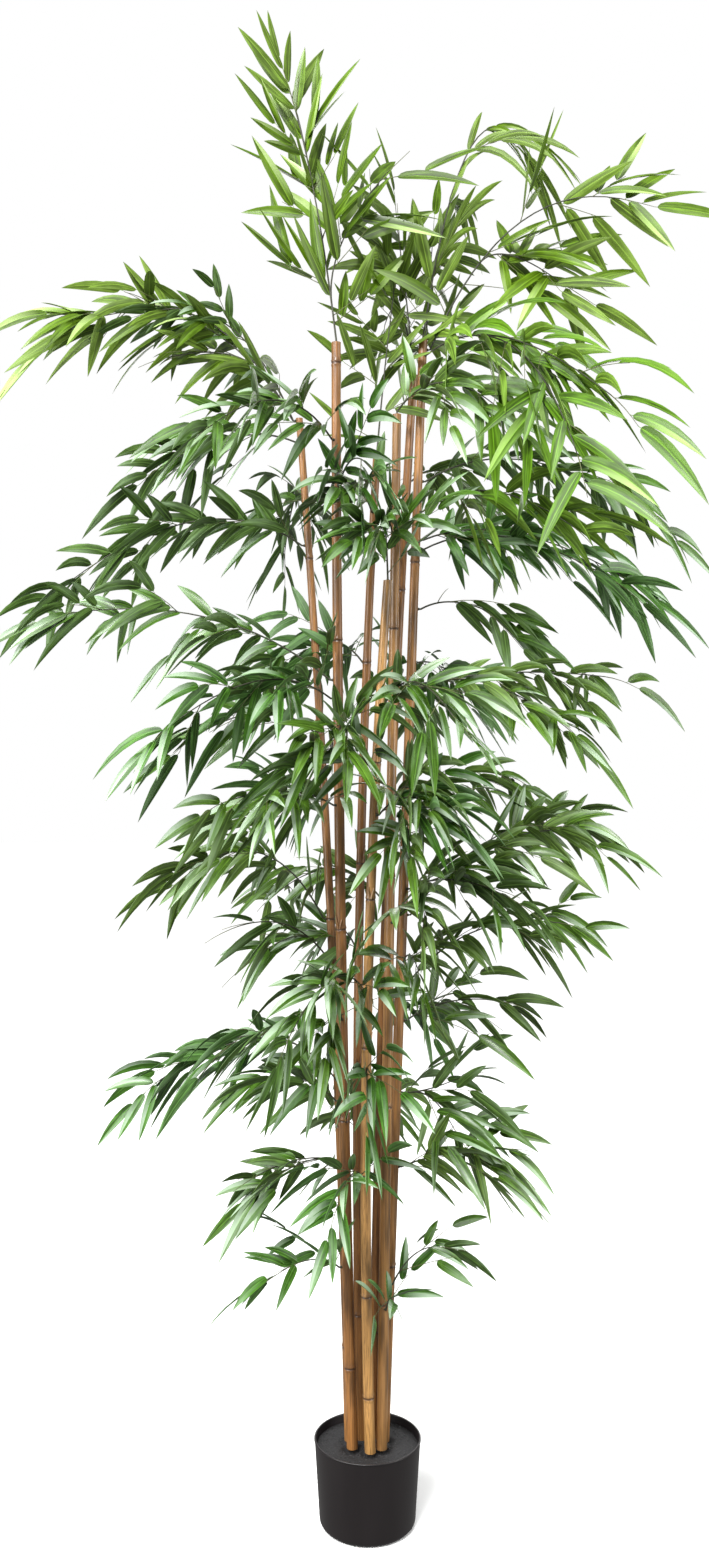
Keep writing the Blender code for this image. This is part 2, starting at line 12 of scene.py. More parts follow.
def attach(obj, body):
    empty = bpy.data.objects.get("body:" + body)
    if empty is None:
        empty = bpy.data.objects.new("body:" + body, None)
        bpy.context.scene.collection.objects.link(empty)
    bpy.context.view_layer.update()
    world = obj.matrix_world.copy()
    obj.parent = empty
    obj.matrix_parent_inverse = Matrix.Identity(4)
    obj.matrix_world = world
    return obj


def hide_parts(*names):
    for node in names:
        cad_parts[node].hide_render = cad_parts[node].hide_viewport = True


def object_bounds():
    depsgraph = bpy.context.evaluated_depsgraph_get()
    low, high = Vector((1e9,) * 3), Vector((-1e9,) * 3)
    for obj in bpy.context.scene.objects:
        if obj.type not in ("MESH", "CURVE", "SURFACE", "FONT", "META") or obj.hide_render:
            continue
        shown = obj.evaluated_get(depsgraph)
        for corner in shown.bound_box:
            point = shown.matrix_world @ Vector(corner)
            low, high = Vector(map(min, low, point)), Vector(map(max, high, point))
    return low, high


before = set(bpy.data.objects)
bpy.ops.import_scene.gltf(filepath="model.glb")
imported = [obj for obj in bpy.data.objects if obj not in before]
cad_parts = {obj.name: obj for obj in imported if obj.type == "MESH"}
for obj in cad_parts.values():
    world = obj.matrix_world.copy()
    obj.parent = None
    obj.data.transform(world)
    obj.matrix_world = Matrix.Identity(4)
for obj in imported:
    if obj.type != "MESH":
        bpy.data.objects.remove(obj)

CAD_BOX = [list(corner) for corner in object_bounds()]
UP = Vector((0, 0, 1))

# ---- Named sizes, the same as the part's ----

CLEAR = 0.0003  # the gap between pieces that touch
POT_HEIGHT = 0.134
POT_RIM_RADIUS = 0.0845
POT_FOOT_RADIUS = 0.076
POT_FOOT_ROUNDING = 0.01
POT_WALL = 0.002
POT_LIP = 0.0016  # radius of the rolled lip
FILL_TOP = 0.122
FOOT_STRAIGHT = 0.01  # the upright foot of a cane
Cane = namedtuple("Cane", "foot top bow foot_radius top_radius rings")
CANES = {
    "a": Cane((-0.029, 0.012), (-0.11, 0.05, 1.759), 0.011, 0.008, 0.006, (0.27, 0.62, 0.95, 1.25, 1.53)),
    "b": Cane((-0.024, -0.012), (-0.049, -0.04, 1.852), -0.006, 0.0092, 0.0075, (0.25, 0.64, 0.94, 1.39, 1.82)),
    "c": Cane((-0.01, 0.016), (0.015, 0.02, 1.687), -0.016, 0.008, 0.0065, (0.32, 0.71, 1.04, 1.36)),
    "d": Cane((0.022, -0.014), (0.046, -0.02, 1.746), 0.0, 0.009, 0.007, (0.35, 0.66, 1.02, 1.41)),
    "e": Cane((0.01, 0.022), (0.076, 0.06, 1.832), -0.012, 0.0085, 0.007, (0.29, 0.68, 1.1, 1.48)),
    "f": Cane((0.026, 0.01), (0.089, 0.02, 1.876), 0.0, 0.009, 0.0072, (0.4, 0.83, 1.19, 1.52)),
    "g": Cane((0.004, -0.025), (0.03, -0.08, 1.477), -0.018, 0.009, 0.0068, (0.21, 0.37, 0.76, 0.99, 1.2)),
}
FIELDS = "name cane foot azimuth reach lift rise bare twigs sag roll bough fork"
Branch = namedtuple("Branch", FIELDS, defaults=(False, None))
BRANCHES = [Branch(*row) for row in (
    ("top_left", "b", 1.852, 176, 0.06, 0.2, 0.35, 0.14, 4, 0.0, 75, False, (5, 0.085, 0.2, 4)),
    ("top_mid", "c", 1.687, 20, 0.03, 0.14, 0.27, 0.45, 4, 0.2, 60),
    ("top_arch", "f", 1.876, 20, 0.175, 0.45, 0.335, 0.06, 5, 0.5, 0),
    ("top_right", "f", 1.86, -5, 0.3, 0.27, 0.23, 0.3, 4, 0.15, 70, True, (5, 0.13, -0.03, 3)),
    ("top_back", "e", 1.832, 100, 0.24, 0.2, 0.16, 0.06, 5, 0.3, 30),
    ("top_centre", "f", 1.845, 65, 0.03, 0.1, 0.19, 0.06, 5, 0.2, 30),
    ("front_right", "f", 1.85, -53, 0.385, 0.04, -0.155, 0.3, 4, 0.6, 40, True, (-62, 0.26, -0.24, 4)),
    ("left_1", "a", 1.755, 180, 0.31, 0.215, 0.17, 0.22, 5, 0.3, 10, True, (177, 0.14, 0.02, 3)),
    ("left_3", "a", 1.72, 195, 0.21, 0.03, -0.05, 0.15, 4, 0.8, 20, False, (180, 0.12, 0.01, 3)),
    ("left_4", "a", 1.552, 182, 0.38, 0.11, -0.065, 0.06, 6, 0.6, 20),
    ("left_5", "b", 1.329, 180, 0.4, 0.137, 0.105, 0.2, 6, 0.8, 20, True),
    ("left_6", "b", 1.3, 205, 0.25, 0.07, -0.04, 0.06, 5, 0.8, 20),
    ("left_7", "b", 1.134, 225, 0.21, 0.04, 0.01, 0.06, 5, 0.7, 20),
    ("left_8", "a", 0.95, 180, 0.2, 0.16, 0.085, 0.35, 4, 0.8, 10, True),
    ("left_9", "a", 0.89, 215, 0.16, 0.08, 0.06, 0.2, 3, 0.6, 10, False, (190, 0.09, -0.03, 2)),
    ("left_11", "c", 0.662, 182, 0.25, 0.166, 0.07, 0.35, 4, 0.7, 10, True, (185, 0.22, -0.05, 3)),
    ("left_12", "b", 0.67, 170, 0.12, 0.05, 0.03, 0.06, 4, 0.5, 20),
    ("left_13", "c", 0.556, 196, 0.15, 0.04, 0.0, 0.25, 3, 0.4, 10, False, (190, 0.09, -0.03, 3)),
    ("left_14", "b", 0.409, 190, 0.09, 0.03, 0.0, 0.06, 2, 0.3, 10),
    ("right_1", "f", 1.65, 10, 0.37, 0.1, -0.035, 0.3, 4, 0.9, 20, True),
    ("right_2", "f", 1.556, -5, 0.31, 0.05, -0.06, 0.06, 6, 0.8, 20),
    ("right_3", "f", 1.446, 10, 0.13, 0.03, -0.01, 0.35, 3, 0.7, 20),
    ("right_4", "f", 1.36, 60, 0.2, 0.02, -0.03, 0.06, 5, 0.4, 20),
    ("right_5", "f", 1.316, -14, 0.22, 0.05, -0.05, 0.2, 4, 0.7, 20, False, (12, 0.27, 0.01, 4)),
    ("right_6", "f", 1.15, 40, 0.22, 0.06, 0.03, 0.06, 5, 0.5, 20),
    ("right_7", "f", 0.958, -5, 0.25, 0.14, 0.165, 0.35, 4, 0.6, 10, True, (0, 0.19, 0.05, 4)),
    ("right_9", "f", 1.0, -45, 0.2, 0.04, 0.0, 0.06, 5, 0.5, 20),
    ("right_10", "f", 0.85, -10, 0.24, 0.12, 0.1, 0.25, 4, 0.7, 10, True),
    ("right_11", "f", 0.79, 5, 0.14, 0.04, 0.03, 0.06, 4, 0.6, 10),
    ("right_12", "f", 0.675, 0, 0.08, 0.0, 0.02, 0.2, 2, 0.3, 30, False, (-20, 0.06, -0.05, 2)),
    ("right_13", "f", 0.558, -15, 0.15, 0.03, 0.04, 0.06, 5, 0.5, 10),
    ("right_15", "d", 0.38, 0, 0.07, 0.06, 0.06, 0.06, 2, 0.2, 10),
    ("front_1", "g", 1.477, -95, 0.1, 0.08, 0.06, 0.06, 3, 0.4, 20),
    ("front_2", "g", 1.28, -70, 0.26, 0.08, -0.02, 0.06, 5, 0.5, 20),
    ("front_4", "g", 0.85, -115, 0.24, 0.08, -0.02, 0.06, 5, 0.5, 20),
    ("front_5", "b", 1.7, -125, 0.28, 0.08, -0.04, 0.06, 5, 0.7, 20),
    ("front_6", "d", 1.746, -40, 0.18, 0.07, -0.02, 0.06, 5, 0.7, 20),
    ("back_1", "a", 1.62, 100, 0.27, 0.09, -0.03, 0.06, 5, 0.7, 20),
    ("back_2", "e", 1.66, 55, 0.3, 0.09, -0.04, 0.06, 5, 0.7, 20),
    ("back_3", "c", 1.36, 120, 0.31, 0.1, -0.02, 0.06, 6, 0.7, 20),
    ("back_4", "e", 0.98, 130, 0.3, 0.09, -0.02, 0.06, 5, 0.7, 20),
    ("back_5", "c", 0.6, 80, 0.24, 0.08, -0.02, 0.06, 5, 0.7, 20),
)]

# Finer growth of the scene alone: leafy wires between the part's and close to the canes, in the same fields
SPRIGS = [Branch(*row) for row in (
    ("top_left_2", "b", 1.852, 172, 0.075, 0.25, 0.398, 0.6, 2, 0.0, 70),
    ("top_e1", "e", 1.832, 150, 0.03, 0.12, 0.24, 0.25, 4, 0.3, 30),
    ("left_1b", "a", 1.755, 184, 0.21, 0.2, 0.175, 0.35, 3, 0.3, 0),
    ("left_1c", "a", 1.755, 179, 0.375, 0.28, 0.145, 0.72, 2, 0.6, 10),
    ("right_2b", "f", 1.54, -12, 0.3, 0.06, -0.06, 0.45, 4, 0.7, 20),
    ("front_f3", "f", 1.6, -42, 0.28, 0.06, -0.06, 0.4, 4, 0.8, 30),
    ("front_d4", "d", 0.345, -75, 0.035, 0.03, 0.03, 0.1, 1, 0.6, 40),
    ("front_c1", "c", 1.6, -110, 0.12, 0.04, 0.02, 0.1, 3, 0.4, 40),
    ("front_b1", "b", 1.63, -70, 0.13, 0.05, 0.0, 0.1, 3, 0.4, 50),
    ("front_d1", "d", 1.54, -100, 0.1, 0.04, 0.02, 0.1, 2, 0.4, 40),
    ("front_b2", "b", 1.24, -85, 0.14, 0.04, 0.0, 0.1, 3, 0.5, 40),
    ("front_g2", "g", 1.19, -130, 0.13, 0.05, 0.02, 0.1, 3, 0.5, 40),
    ("front_g3", "g", 1.12, -50, 0.14, 0.05, 0.01, 0.1, 3, 0.5, 50),
    ("front_d2", "d", 1.14, -75, 0.12, 0.04, 0.01, 0.1, 3, 0.5, 50),
    ("front_f1", "f", 1.08, -90, 0.12, 0.04, 0.01, 0.1, 3, 0.5, 40),
    ("front_d3", "d", 0.95, -60, 0.12, 0.05, 0.02, 0.1, 3, 0.5, 50),
    ("front_f2", "f", 0.88, -80, 0.11, 0.04, 0.01, 0.1, 2, 0.5, 40),
    ("front_b4", "b", 0.8, -95, 0.13, 0.05, 0.01, 0.1, 3, 0.5, 40),
    ("front_g4", "g", 0.72, -90, 0.1, 0.04, 0.0, 0.1, 2, 0.5, 40),
    ("front_g5", "g", 0.56, -110, 0.1, 0.04, 0.0, 0.1, 2, 0.4, 40),
    ("left_a1", "a", 1.25, 200, 0.18, 0.06, 0.0, 0.1, 4, 0.6, 40),
    ("back_e1", "e", 1.3, 75, 0.16, 0.06, 0.0, 0.1, 4, 0.5, 40),
    ("back_c1", "c", 0.9, 110, 0.16, 0.05, 0.0, 0.1, 4, 0.5, 40),
    ("back_e2", "e", 0.78, 60, 0.14, 0.05, 0.0, 0.1, 3, 0.5, 40),
    ("back_a1", "a", 1.12, 120, 0.14, 0.05, 0.0, 0.1, 3, 0.5, 40),
)]
# Thinner branches, by the share of their leaves that they keep
LEAFINESS = {
    0.5: "top_left_2 top_centre top_back left_9",
    0.6: "top_left top_mid left_1c left_13 left_a1 right_9 right_11 right_13 right_15",
    0.68: "top_right", 0.7: "left_14 right_6", 0.75: "left_1 left_11 right_7 right_10",
    0.8: "left_3 left_12 right_4 front_2 front_b4 front_f3 front_g4", 0.85: "left_7 right_5 front_right", 0.9: "left_6",
}
# Openings between the sprays, where the sky shows through: lowest and highest x, lowest and highest z
SKY = [
    (-0.49, -0.28, 1.74, 1.865), (-0.65, -0.49, 1.74, 1.8), (-0.65, -0.44, 1.59, 1.68), (-0.34, -0.2, 1.46, 1.53),
    (-0.65, -0.4, 1.28, 1.36), (-0.45, -0.2, 0.82, 0.95), (-0.45, -0.24, 0.44, 0.55), (0.1, 0.36, 1.45, 1.51),
    (0.06, 0.16, 1.39, 1.46), (0.37, 0.6, 1.09, 1.16), (0.3, 0.6, 0.68, 0.82), (0.2, 0.3, 0.67, 0.75),
    (0.19, 0.4, 0.3, 0.5), (0.03, 0.115, 2.06, 2.32), (0.115, 0.15, 2.19, 2.32), (0.4, 0.6, 0.86, 0.98),
    (-0.03, 0.4, 0.2, 0.36),
]
# Tone of a branch's leaves: those at the top are light, and the others dark where they aren't named here
LEAF_TONES = {"left_1": "light", "left_1c": "light", "front_right": "bright", "front_f3": "bright"}
# How much the twigs and leaves of a branch sag, where the photograph shows more than the part's own number
SAGS = {"left_1": 0.55, "top_arch": 0.9, "front_right": 0.8, "right_1": 1.0}
# Leaves of a branch beside the usual ones: their length, how far they open from the wire, and the height in
# degrees of the way that they all lean
POSTURES = {
    "top_left": (1.08, 1, 90), "top_left_2": (1, 0.7, 90), "top_mid": (0.9, 1, 50), "top_arch": (0.85, 0.22, 20),
    "top_centre": (0.85, 1, 30), "top_right": (1.1, 1.15, 52), "top_e1": (0.95, 0.8, -75), "left_1": (0.95, 0.9, -4),
    "left_1b": (0.75, 0.8, 0), "left_4": (1, 1, 12), "left_5": (1, 1, 22), "left_11": (1, 1, 10),
    "left_14": (0.85, 1, 0), "right_5": (0.9, 1, 0), "right_10": (0.9, 1, 0), "right_13": (1.1, 0.8, -10),
    "right_15": (0.75, 1, 0), "front_d4": (1, 1.2, 0), "front_f3": (1, 1.1, -5),
}
USUAL_POSTURE = (1, 1, 0)
# Branches whose leaves still lie folded along their wire, as they were packed: share of the usual width
PACKED = {"top_arch": 0.62}
PACKED_DROOP = 1.5  # how much more such leaves droop
BOUGH_RADIUS = 0.0016
WIRE_RADII = (0.0014, 0.0008)
TWIG_RADII = (0.0008, 0.0004)
COLLAR_RADII = (0.0026, 0.002)  # the thick foot of a wire, half sunk in its cane
WIRE_STATIONS = 16
PEG = 0.004  # how far a wire stands straight out of its cane
FORK_START = 0.006
FORK_BARE = 0.25
BEND_SHARE = 0.4
TWIG_LENGTHS = (0.08, 0.12)
TWIG_SHRINK = (1.15, 0.55)
TWIG_FAN = (30, 52)
TWIG_ROLL = 40
TWIG_DROP = 0.25
END_FAN = 8
FIRST_TWIG = 0.3
CROWN_FLOOR = 0.3  # no leaf hangs lower

# Finer than the part: more twigs between its own, and more leaves on each
BETWEEN = 0.15  # share of the gaps between the part's twigs that get one more
LEAF_LENGTH = 0.096
LEAF_WIDTH = 0.0165
LEAF_SIZES = (0.7, 1.08)
TOP_LEAF = 1.25  # how much longer the leaves of the light and bright sprays are
LEAF_GAP = 0.0215
LEAF_FAN = (22, 44)
LEAF_OPENING = 4  # degrees that each leaf further back opens more
LEAF_ROLL = (28, 78)  # degrees from level of the plane that the leaves of a twig stand in
LEAF_TILT = 16
LEAF_STRAY = 0.2  # a leaf's stray up or down, as a share of its branch's sag
LAST_LEAF = 0.12  # the share of a twig at which its leaves end
COMB = 0.28  # how much every leaf of a branch leans its way
LEAF_MOST = 6
LEAF_DROOP = (0.2, 0.5)
STIFF_DROOP = 0.35  # the sag that every branch's leaves have beside its own
STEEP_DROOP = 0.3  # how much an upright leaf droops beside a level one
LEAF_TWIST = 20
LEAF_FOLD = 17
ARM_GAP = 0.036  # between the leaves that an arm carries itself
ARM_FAN = (28, 54)
ARM_STRAY = (0.2, 0.8)
INNER_GAP = 0.06  # between the twigs on the bare share of a wire
INNER_LENGTHS = (0.05, 0.085)
INNER_FAN = (40, 72)
INNER_ROLL = 50
INNER_STRAY = (0.3, 0.9)
INNER_REACH = 0.12  # the least share of a wire that has them
FREE = 0.004  # between a leaf or a twig's tip and the canes
LEAF_CHECKS = (0.3, 0.6, 0.85, 1.0)  # shares of a leaf that have to be free
SKY_SHARE = 0.6  # the share of a leaf that says whether it hides the sky
SHORTENINGS = (1.0, 0.9, 0.8, 0.7, 0.6, 0.5)  # tried in turn on a leaf that leaves the box
LEAF_THICKNESS = 0.0004
LEAF_SLIMMEST = 0.45  # share of the width that doesn't follow a leaf's length
PETIOLE = 0.005
PETIOLE_RADIUS = 0.0005
PETIOLE_SUNK = 0.002  # how far it runs on into its leaf
# Share of a leaf's length, and share of its width there
OUTLINE = (
    (0.0, 0.12), (0.03, 0.55), (0.09, 0.82), (0.22, 0.98), (0.4, 1.0),
    (0.58, 0.88), (0.75, 0.62), (0.89, 0.31), (1.0, 0.0),
)

# A curve is the start, bend and end of a wire or a twig
Arm = namedtuple("Arm", "foot curve side bare twigs")
Twig = namedtuple("Twig", "curve leaves")


# ---- The branching rule ----


def between(first, last, share):
    return first + (last - first) * share


def cane_axis(cane, height):
    share = (height - FILL_TOP) / (cane.top[2] - FILL_TOP)
    x = between(cane.foot[0], cane.top[0], share) + cane.bow * 4 * share * (1 - share)
    return Vector((x, between(cane.foot[1], cane.top[1], share), height))


def cane_radius(cane, height):
    share = (height - FILL_TOP) / (cane.top[2] - FILL_TOP)
    return between(cane.foot_radius, cane.top_radius, share)


def arch(start, bend, end, share):
    return start * (1 - share) ** 2 + bend * 2 * share * (1 - share) + end * share**2


def slope(start, bend, end, share):
    return ((bend - start) * (1 - share) + (end - bend) * share).normalized()


def spoke(angle):
    return Vector((cos(angle), sin(angle), 0))


def heading(azimuth):
    angle = radians(azimuth)
    return spoke(angle), Vector((-sin(angle), cos(angle), 0))


def turn(along, across, angle):
    return (along * cos(angle) + across * sin(angle)).normalized()


def arms_of(branch):
    """The main arm, and the second one of a branch that forks."""
    out, side = heading(branch.azimuth)
    cane = CANES[branch.cane]
    axis = cane_axis(cane, branch.foot)
    face = UP if branch.foot >= cane.top[2] else out
    surface = axis if face is UP else axis + out * cane_radius(cane, branch.foot)
    foot = surface + face * CLEAR
    root = foot + face * PEG
    bend = root + out * BEND_SHARE * branch.reach + UP * branch.lift
    curve = (root, bend, root + out * branch.reach + UP * branch.rise)
    arms = [Arm(foot, curve, side, branch.bare, branch.twigs)]
    if branch.fork:
        azimuth, reach, rise, twigs = branch.fork
        along = slope(*curve, branch.bare)
        start = arch(*curve, branch.bare)
        out, side = heading(azimuth)
        end = start + along * FORK_START + out * reach + UP * rise
        bend = start + along * BEND_SHARE * (end - start).length
        arms.append(Arm(start, (start, bend, end), side, FORK_BARE, twigs))
    return arms


def frame_at(arm, share, roll, turned):
    """The way along an arm, and the one across it on the side that `turned` says, `roll` degrees from level."""
    along = slope(*arm.curve, share)
    over = along.cross(arm.side)
    over = -over if over.z < 0 else over
    return along, (arm.side * cos(radians(roll)) + over * sin(radians(roll))) * turned


def twig_from(branch, arm, share, along, across, fan, length, leaves):
    start = arch(*arm.curve, share)
    way = turn(along, across, radians(fan))
    end = start + way * length - UP * branch.sag * length * TWIG_DROP
    return Twig((start, start + way * length * 0.5, end), leaves)


def twig_at(branch, arm, share, turned, last, dice):
    """One twig at a share of its arm."""
    along, across = frame_at(arm, share, branch.roll + dice.uniform(-TWIG_ROLL, TWIG_ROLL), turned)
    fan = dice.uniform(-END_FAN, END_FAN) if last else dice.uniform(*TWIG_FAN)
    length = dice.uniform(*TWIG_LENGTHS) * between(*TWIG_SHRINK, share)
    return twig_from(branch, arm, share, along, across, fan, length, min(LEAF_MOST, int(length / LEAF_GAP) + 2))


def twigs_of(branch, arms):
    """The part's twigs, and then those between them."""
    dice = random.Random(branch.name)
    twigs = []
    for arm in arms:
        for index in range(arm.twigs + 1):
            last = index == arm.twigs
            share = 1.0 if last else arm.bare + (1 - arm.bare) * (index + FIRST_TWIG) / arm.twigs
            twigs.append(twig_at(branch, arm, share, 1 if index % 2 else -1, last, dice))
    dice = random.Random(branch.name + " between")
    for arm in arms:
        for index in range(arm.twigs):
            if dice.random() < BETWEEN:
                share = arm.bare + (1 - arm.bare) * (index + FIRST_TWIG + 0.5) / arm.twigs
                twigs.append(twig_at(branch, arm, share, -1 if index % 2 else 1, False, dice))
    return twigs + inner_twigs(branch, arms[0])


def inner_twigs(branch, arm):
    """Short twigs close to the cane, where the part leaves its wire bare."""
    dice = random.Random(branch.name + " inner")
    reach = max(arm.bare, INNER_REACH)
    count = int((arm.curve[2] - arm.curve[0]).length * reach / INNER_GAP) + 1
    twigs = []
    for index in range(count):
        share = reach * (index + dice.uniform(*INNER_STRAY)) / count
        roll = branch.roll + dice.uniform(-INNER_ROLL, INNER_ROLL)
        along, across = frame_at(arm, share, roll, -1 if index % 2 else 1)
        fan, size = dice.uniform(*INNER_FAN), dice.uniform(*INNER_LENGTHS)
        twigs.append(twig_from(branch, arm, share, along, across, fan, size, int(size / LEAF_GAP) + 1))
    return twigs


Leaf = namedtuple("Leaf", "root direction flat length width droop twist pale light")


def leaf_at(branch, curve, roll, share, turned, fan, dice):
    """One leaf at a share of a curve's three points, at `fan` degrees from it."""
    root = arch(*curve, share)
    along = slope(*curve, share)
    level = along.cross(UP if abs(along.z) < 0.95 else Vector((1, 0, 0))).normalized()
    side = Matrix.Rotation(roll, 3, along) @ level
    over = along.cross(side)
    tilt = radians(dice.uniform(-LEAF_TILT, LEAF_TILT))
    way = (side * cos(tilt) + over * sin(tilt)) * turned
    size, opening, elevation = POSTURES.get(branch.name, USUAL_POSTURE)
    stray = dice.uniform(-LEAF_STRAY, LEAF_STRAY)
    direction = turn(along, way, radians(fan * opening)) - UP * branch.sag * stray
    lean = turn(heading(branch.azimuth)[0], UP, radians(elevation))
    packed = branch.name in PACKED
    direction = (direction + lean * (0 if packed else COMB)).normalized()
    flat = along.cross(way)
    flat = (flat - direction * flat.dot(direction)).normalized()
    facing = Vector((root.x, root.y, 0)).normalized() + UP
    flat = -flat if flat.dot(facing) < 0 else flat
    spin = Matrix.Rotation(radians(dice.uniform(-LEAF_TILT, LEAF_TILT)), 3, direction)
    droop = dice.uniform(*LEAF_DROOP) * (STIFF_DROOP + branch.sag) * (STEEP_DROOP + (1 - abs(direction.z)))
    twist = radians(dice.uniform(-LEAF_TWIST, LEAF_TWIST))
    length = LEAF_LENGTH * dice.uniform(*LEAF_SIZES) * (1.0 if tone_of(branch) == "dark" else TOP_LEAF) * size
    if packed:
        droop *= PACKED_DROOP
    width = LEAF_WIDTH * PACKED.get(branch.name, 1.0)
    return Leaf(root, direction, spin @ flat, length, width, droop, twist, dice.random(), dice.random())


def twig_leaves(branch, twig, dice):
    """Leaves alternate along a twig, from its tip back."""
    length = (twig.curve[2] - twig.curve[0]).length
    roll = radians(dice.uniform(*LEAF_ROLL)) * dice.choice((-1, 1))
    for index in range(twig.leaves):
        share = max(1 - index * LEAF_GAP / length, LAST_LEAF)
        fan = dice.uniform(*LEAF_FAN) + LEAF_OPENING * index if index else dice.uniform(-END_FAN, END_FAN)
        yield leaf_at(branch, twig.curve, roll, share, -1 if index % 2 else 1, fan, dice)


def arm_leaves(branch, arm, dice):
    """The single leaves that sit on the wire itself, beyond its bare share."""
    count = int((arm.curve[2] - arm.curve[0]).length * (1 - arm.bare) / ARM_GAP)
    roll = radians(dice.uniform(*LEAF_ROLL)) * dice.choice((-1, 1))
    for index in range(count):
        share = arm.bare + (1 - arm.bare) * (index + dice.uniform(*ARM_STRAY)) / count
        yield leaf_at(branch, arm.curve, roll, share, 1 if index % 2 else -1, dice.uniform(*ARM_FAN), dice)


# ---- Meshes ----


# Red is a leaf's dice for its painted highlight and its grain, green its tint, a ring's darkness or the painted shade
# in a cane's hollow, and blue its light dice or a cut end
MARK = (0.5, 0.0, 0.0, 1.0)
MIDDLE = (0.0, 0.5)


def turns(count):
    return [tau * step / count for step in range(count)]


def quads(lower, upper):
    """The corners of each face between two rings of equal count."""
    for side in range(len(lower)):
        after = (side + 1) % len(lower)
        yield lower[side], lower[after], upper[after], upper[side]


class Sheaf:
    """Gathers many small shapes into one mesh, with a material, a UV and a colour for each face."""

    def __init__(self):
        self.points = []
        self.faces = []
        self.kinds = []
        self.uvs = []
        self.marks = []

    def add_ring(self, ring):
        first = len(self.points)
        self.points.extend(ring)
        return range(first, first + len(ring))

    def add_face(self, corners, kind=0, uvs=None, mark=MARK):
        corners = tuple(corners)
        self.faces.append(corners)
        self.kinds.append(kind)
        self.uvs.extend(uvs or [MIDDLE] * len(corners))
        self.marks.extend([mark] * len(corners))

    def join(self, rings):
        """Faces between each two rings of equal count, either of which may be one point."""
        for first, second in zip(rings, rings[1:]):
            steps = max(len(first), len(second))
            for step in range(steps):
                after = (step + 1) % steps
                if len(first) == 1:
                    self.add_face((first[0], second[step], second[after]))
                elif len(second) == 1:
                    self.add_face((second[0], first[after], first[step]))
                else:
                    self.add_face((first[step], second[step], second[after], first[after]))

    def tube(self, points, radii, sides, kind=0):
        """A closed tube through the points, its ring carried along without twist."""
        rings = []
        across = None
        for index, point in enumerate(points):
            before = points[max(index - 1, 0)]
            after = points[min(index + 1, len(points) - 1)]
            along = (after - before).normalized()
            if across is None:
                across = along.cross(UP if abs(along.z) < 0.9 else Vector((1, 0, 0))).normalized()
            across = (across - along * across.dot(along)).normalized()
            over = along.cross(across)
            ways = [across * cos(angle) + over * sin(angle) for angle in turns(sides)]
            rings.append(self.add_ring([point + way * radii[index] for way in ways]))
        for lower, upper in zip(rings, rings[1:]):
            for corners in quads(lower, upper):
                self.add_face(corners, kind)
        self.add_face(reversed(rings[0]), kind)
        self.add_face(rings[-1], kind)

    def object(self, name, materials, smooth=True, crease=None):
        mesh = bpy.data.meshes.new(name)
        mesh.from_pydata([tuple(point) for point in self.points], [], self.faces)
        for made in materials:
            mesh.materials.append(made)
        mesh.polygons.foreach_set("material_index", self.kinds)
        mesh.polygons.foreach_set("use_smooth", [smooth] * len(self.faces))
        uv = mesh.uv_layers.new(name="leaf")
        uv.data.foreach_set("uv", [value for pair in self.uvs for value in pair])
        marks = mesh.color_attributes.new("mark", "FLOAT_COLOR", "CORNER")
        marks.data.foreach_set("color", [value for mark in self.marks for value in mark])
        mesh.update()
        if crease:
            mesh.set_sharp_from_angle(angle=radians(crease))
        return placed(name, mesh)


def placed(name, data):
    obj = bpy.data.objects.new(name, data)
    bpy.context.scene.collection.objects.link(obj)
    return obj


def add_leaf(sheaf, leaf, tint):
    """A blade folded along its rib, with a thickness of its own, on its short stalk."""
    top, under, stalk = (3 * tint + index for index in range(3))
    base = leaf.root + leaf.direction * PETIOLE
    sections = []
    for along, breadth in OUTLINE:
        fall = leaf.droop * leaf.length * along * along
        centre = base + leaf.direction * leaf.length * along - UP * fall
        tangent = (leaf.direction * leaf.length - UP * 2 * leaf.droop * leaf.length * along).normalized()
        flat = (leaf.flat - tangent * leaf.flat.dot(tangent)).normalized()
        flat = Matrix.Rotation(leaf.twist * along, 3, tangent) @ flat
        side = tangent.cross(flat)
        half = leaf.width / 2 * breadth * (LEAF_SLIMMEST + (1 - LEAF_SLIMMEST) * leaf.length / LEAF_LENGTH)
        rise = half * sin(radians(LEAF_FOLD))
        if half:
            ring = [centre - side * half + flat * rise, centre, centre + side * half + flat * rise]
            ring += [point - flat * LEAF_THICKNESS for point in reversed(ring)]
            sections.append((along, sheaf.add_ring(ring)))
        else:
            tip = sheaf.add_ring([centre])[0]
    mark = (leaf.pale, tint, leaf.light, 1.0)
    kinds = (top, top, under, under, under, under)
    across = ((0.0, 0.5), (0.5, 1.0), (1.0, 1.0), (1.0, 0.5), (0.5, 0.0), (0.0, 0.0))
    for (low, lower), (high, upper) in zip(sections, sections[1:]):
        for corners, kind, (left, right) in zip(quads(lower, upper), kinds, across):
            sheaf.add_face(corners, kind, ((low, left), (low, right), (high, right), (high, left)), mark)
    low, last = sections[-1]
    for (here, after, *_), kind, (left, right) in zip(quads(last, last), kinds, across):
        sheaf.add_face((here, after, tip), kind, ((low, left), (low, right), (1.0, 0.5)), mark)
    for corners in ((0, 5, 4, 1), (1, 4, 3, 2)):
        sheaf.add_face([sections[0][1][corner] for corner in corners], stalk, mark=mark)
    sheaf.tube((leaf.root, base + leaf.direction * PETIOLE_SUNK), (PETIOLE_RADIUS, PETIOLE_RADIUS), 3, stalk)


def off_the_canes(point, margin):
    """Whether a point is outside every cane by the margin."""
    for cane in CANES.values():
        if point.z < cane.top[2] + margin:
            axis = cane_axis(cane, min(point.z, cane.top[2]))
            if (point - axis).xy.length < cane_radius(cane, point.z) + margin:
                return False
    return True


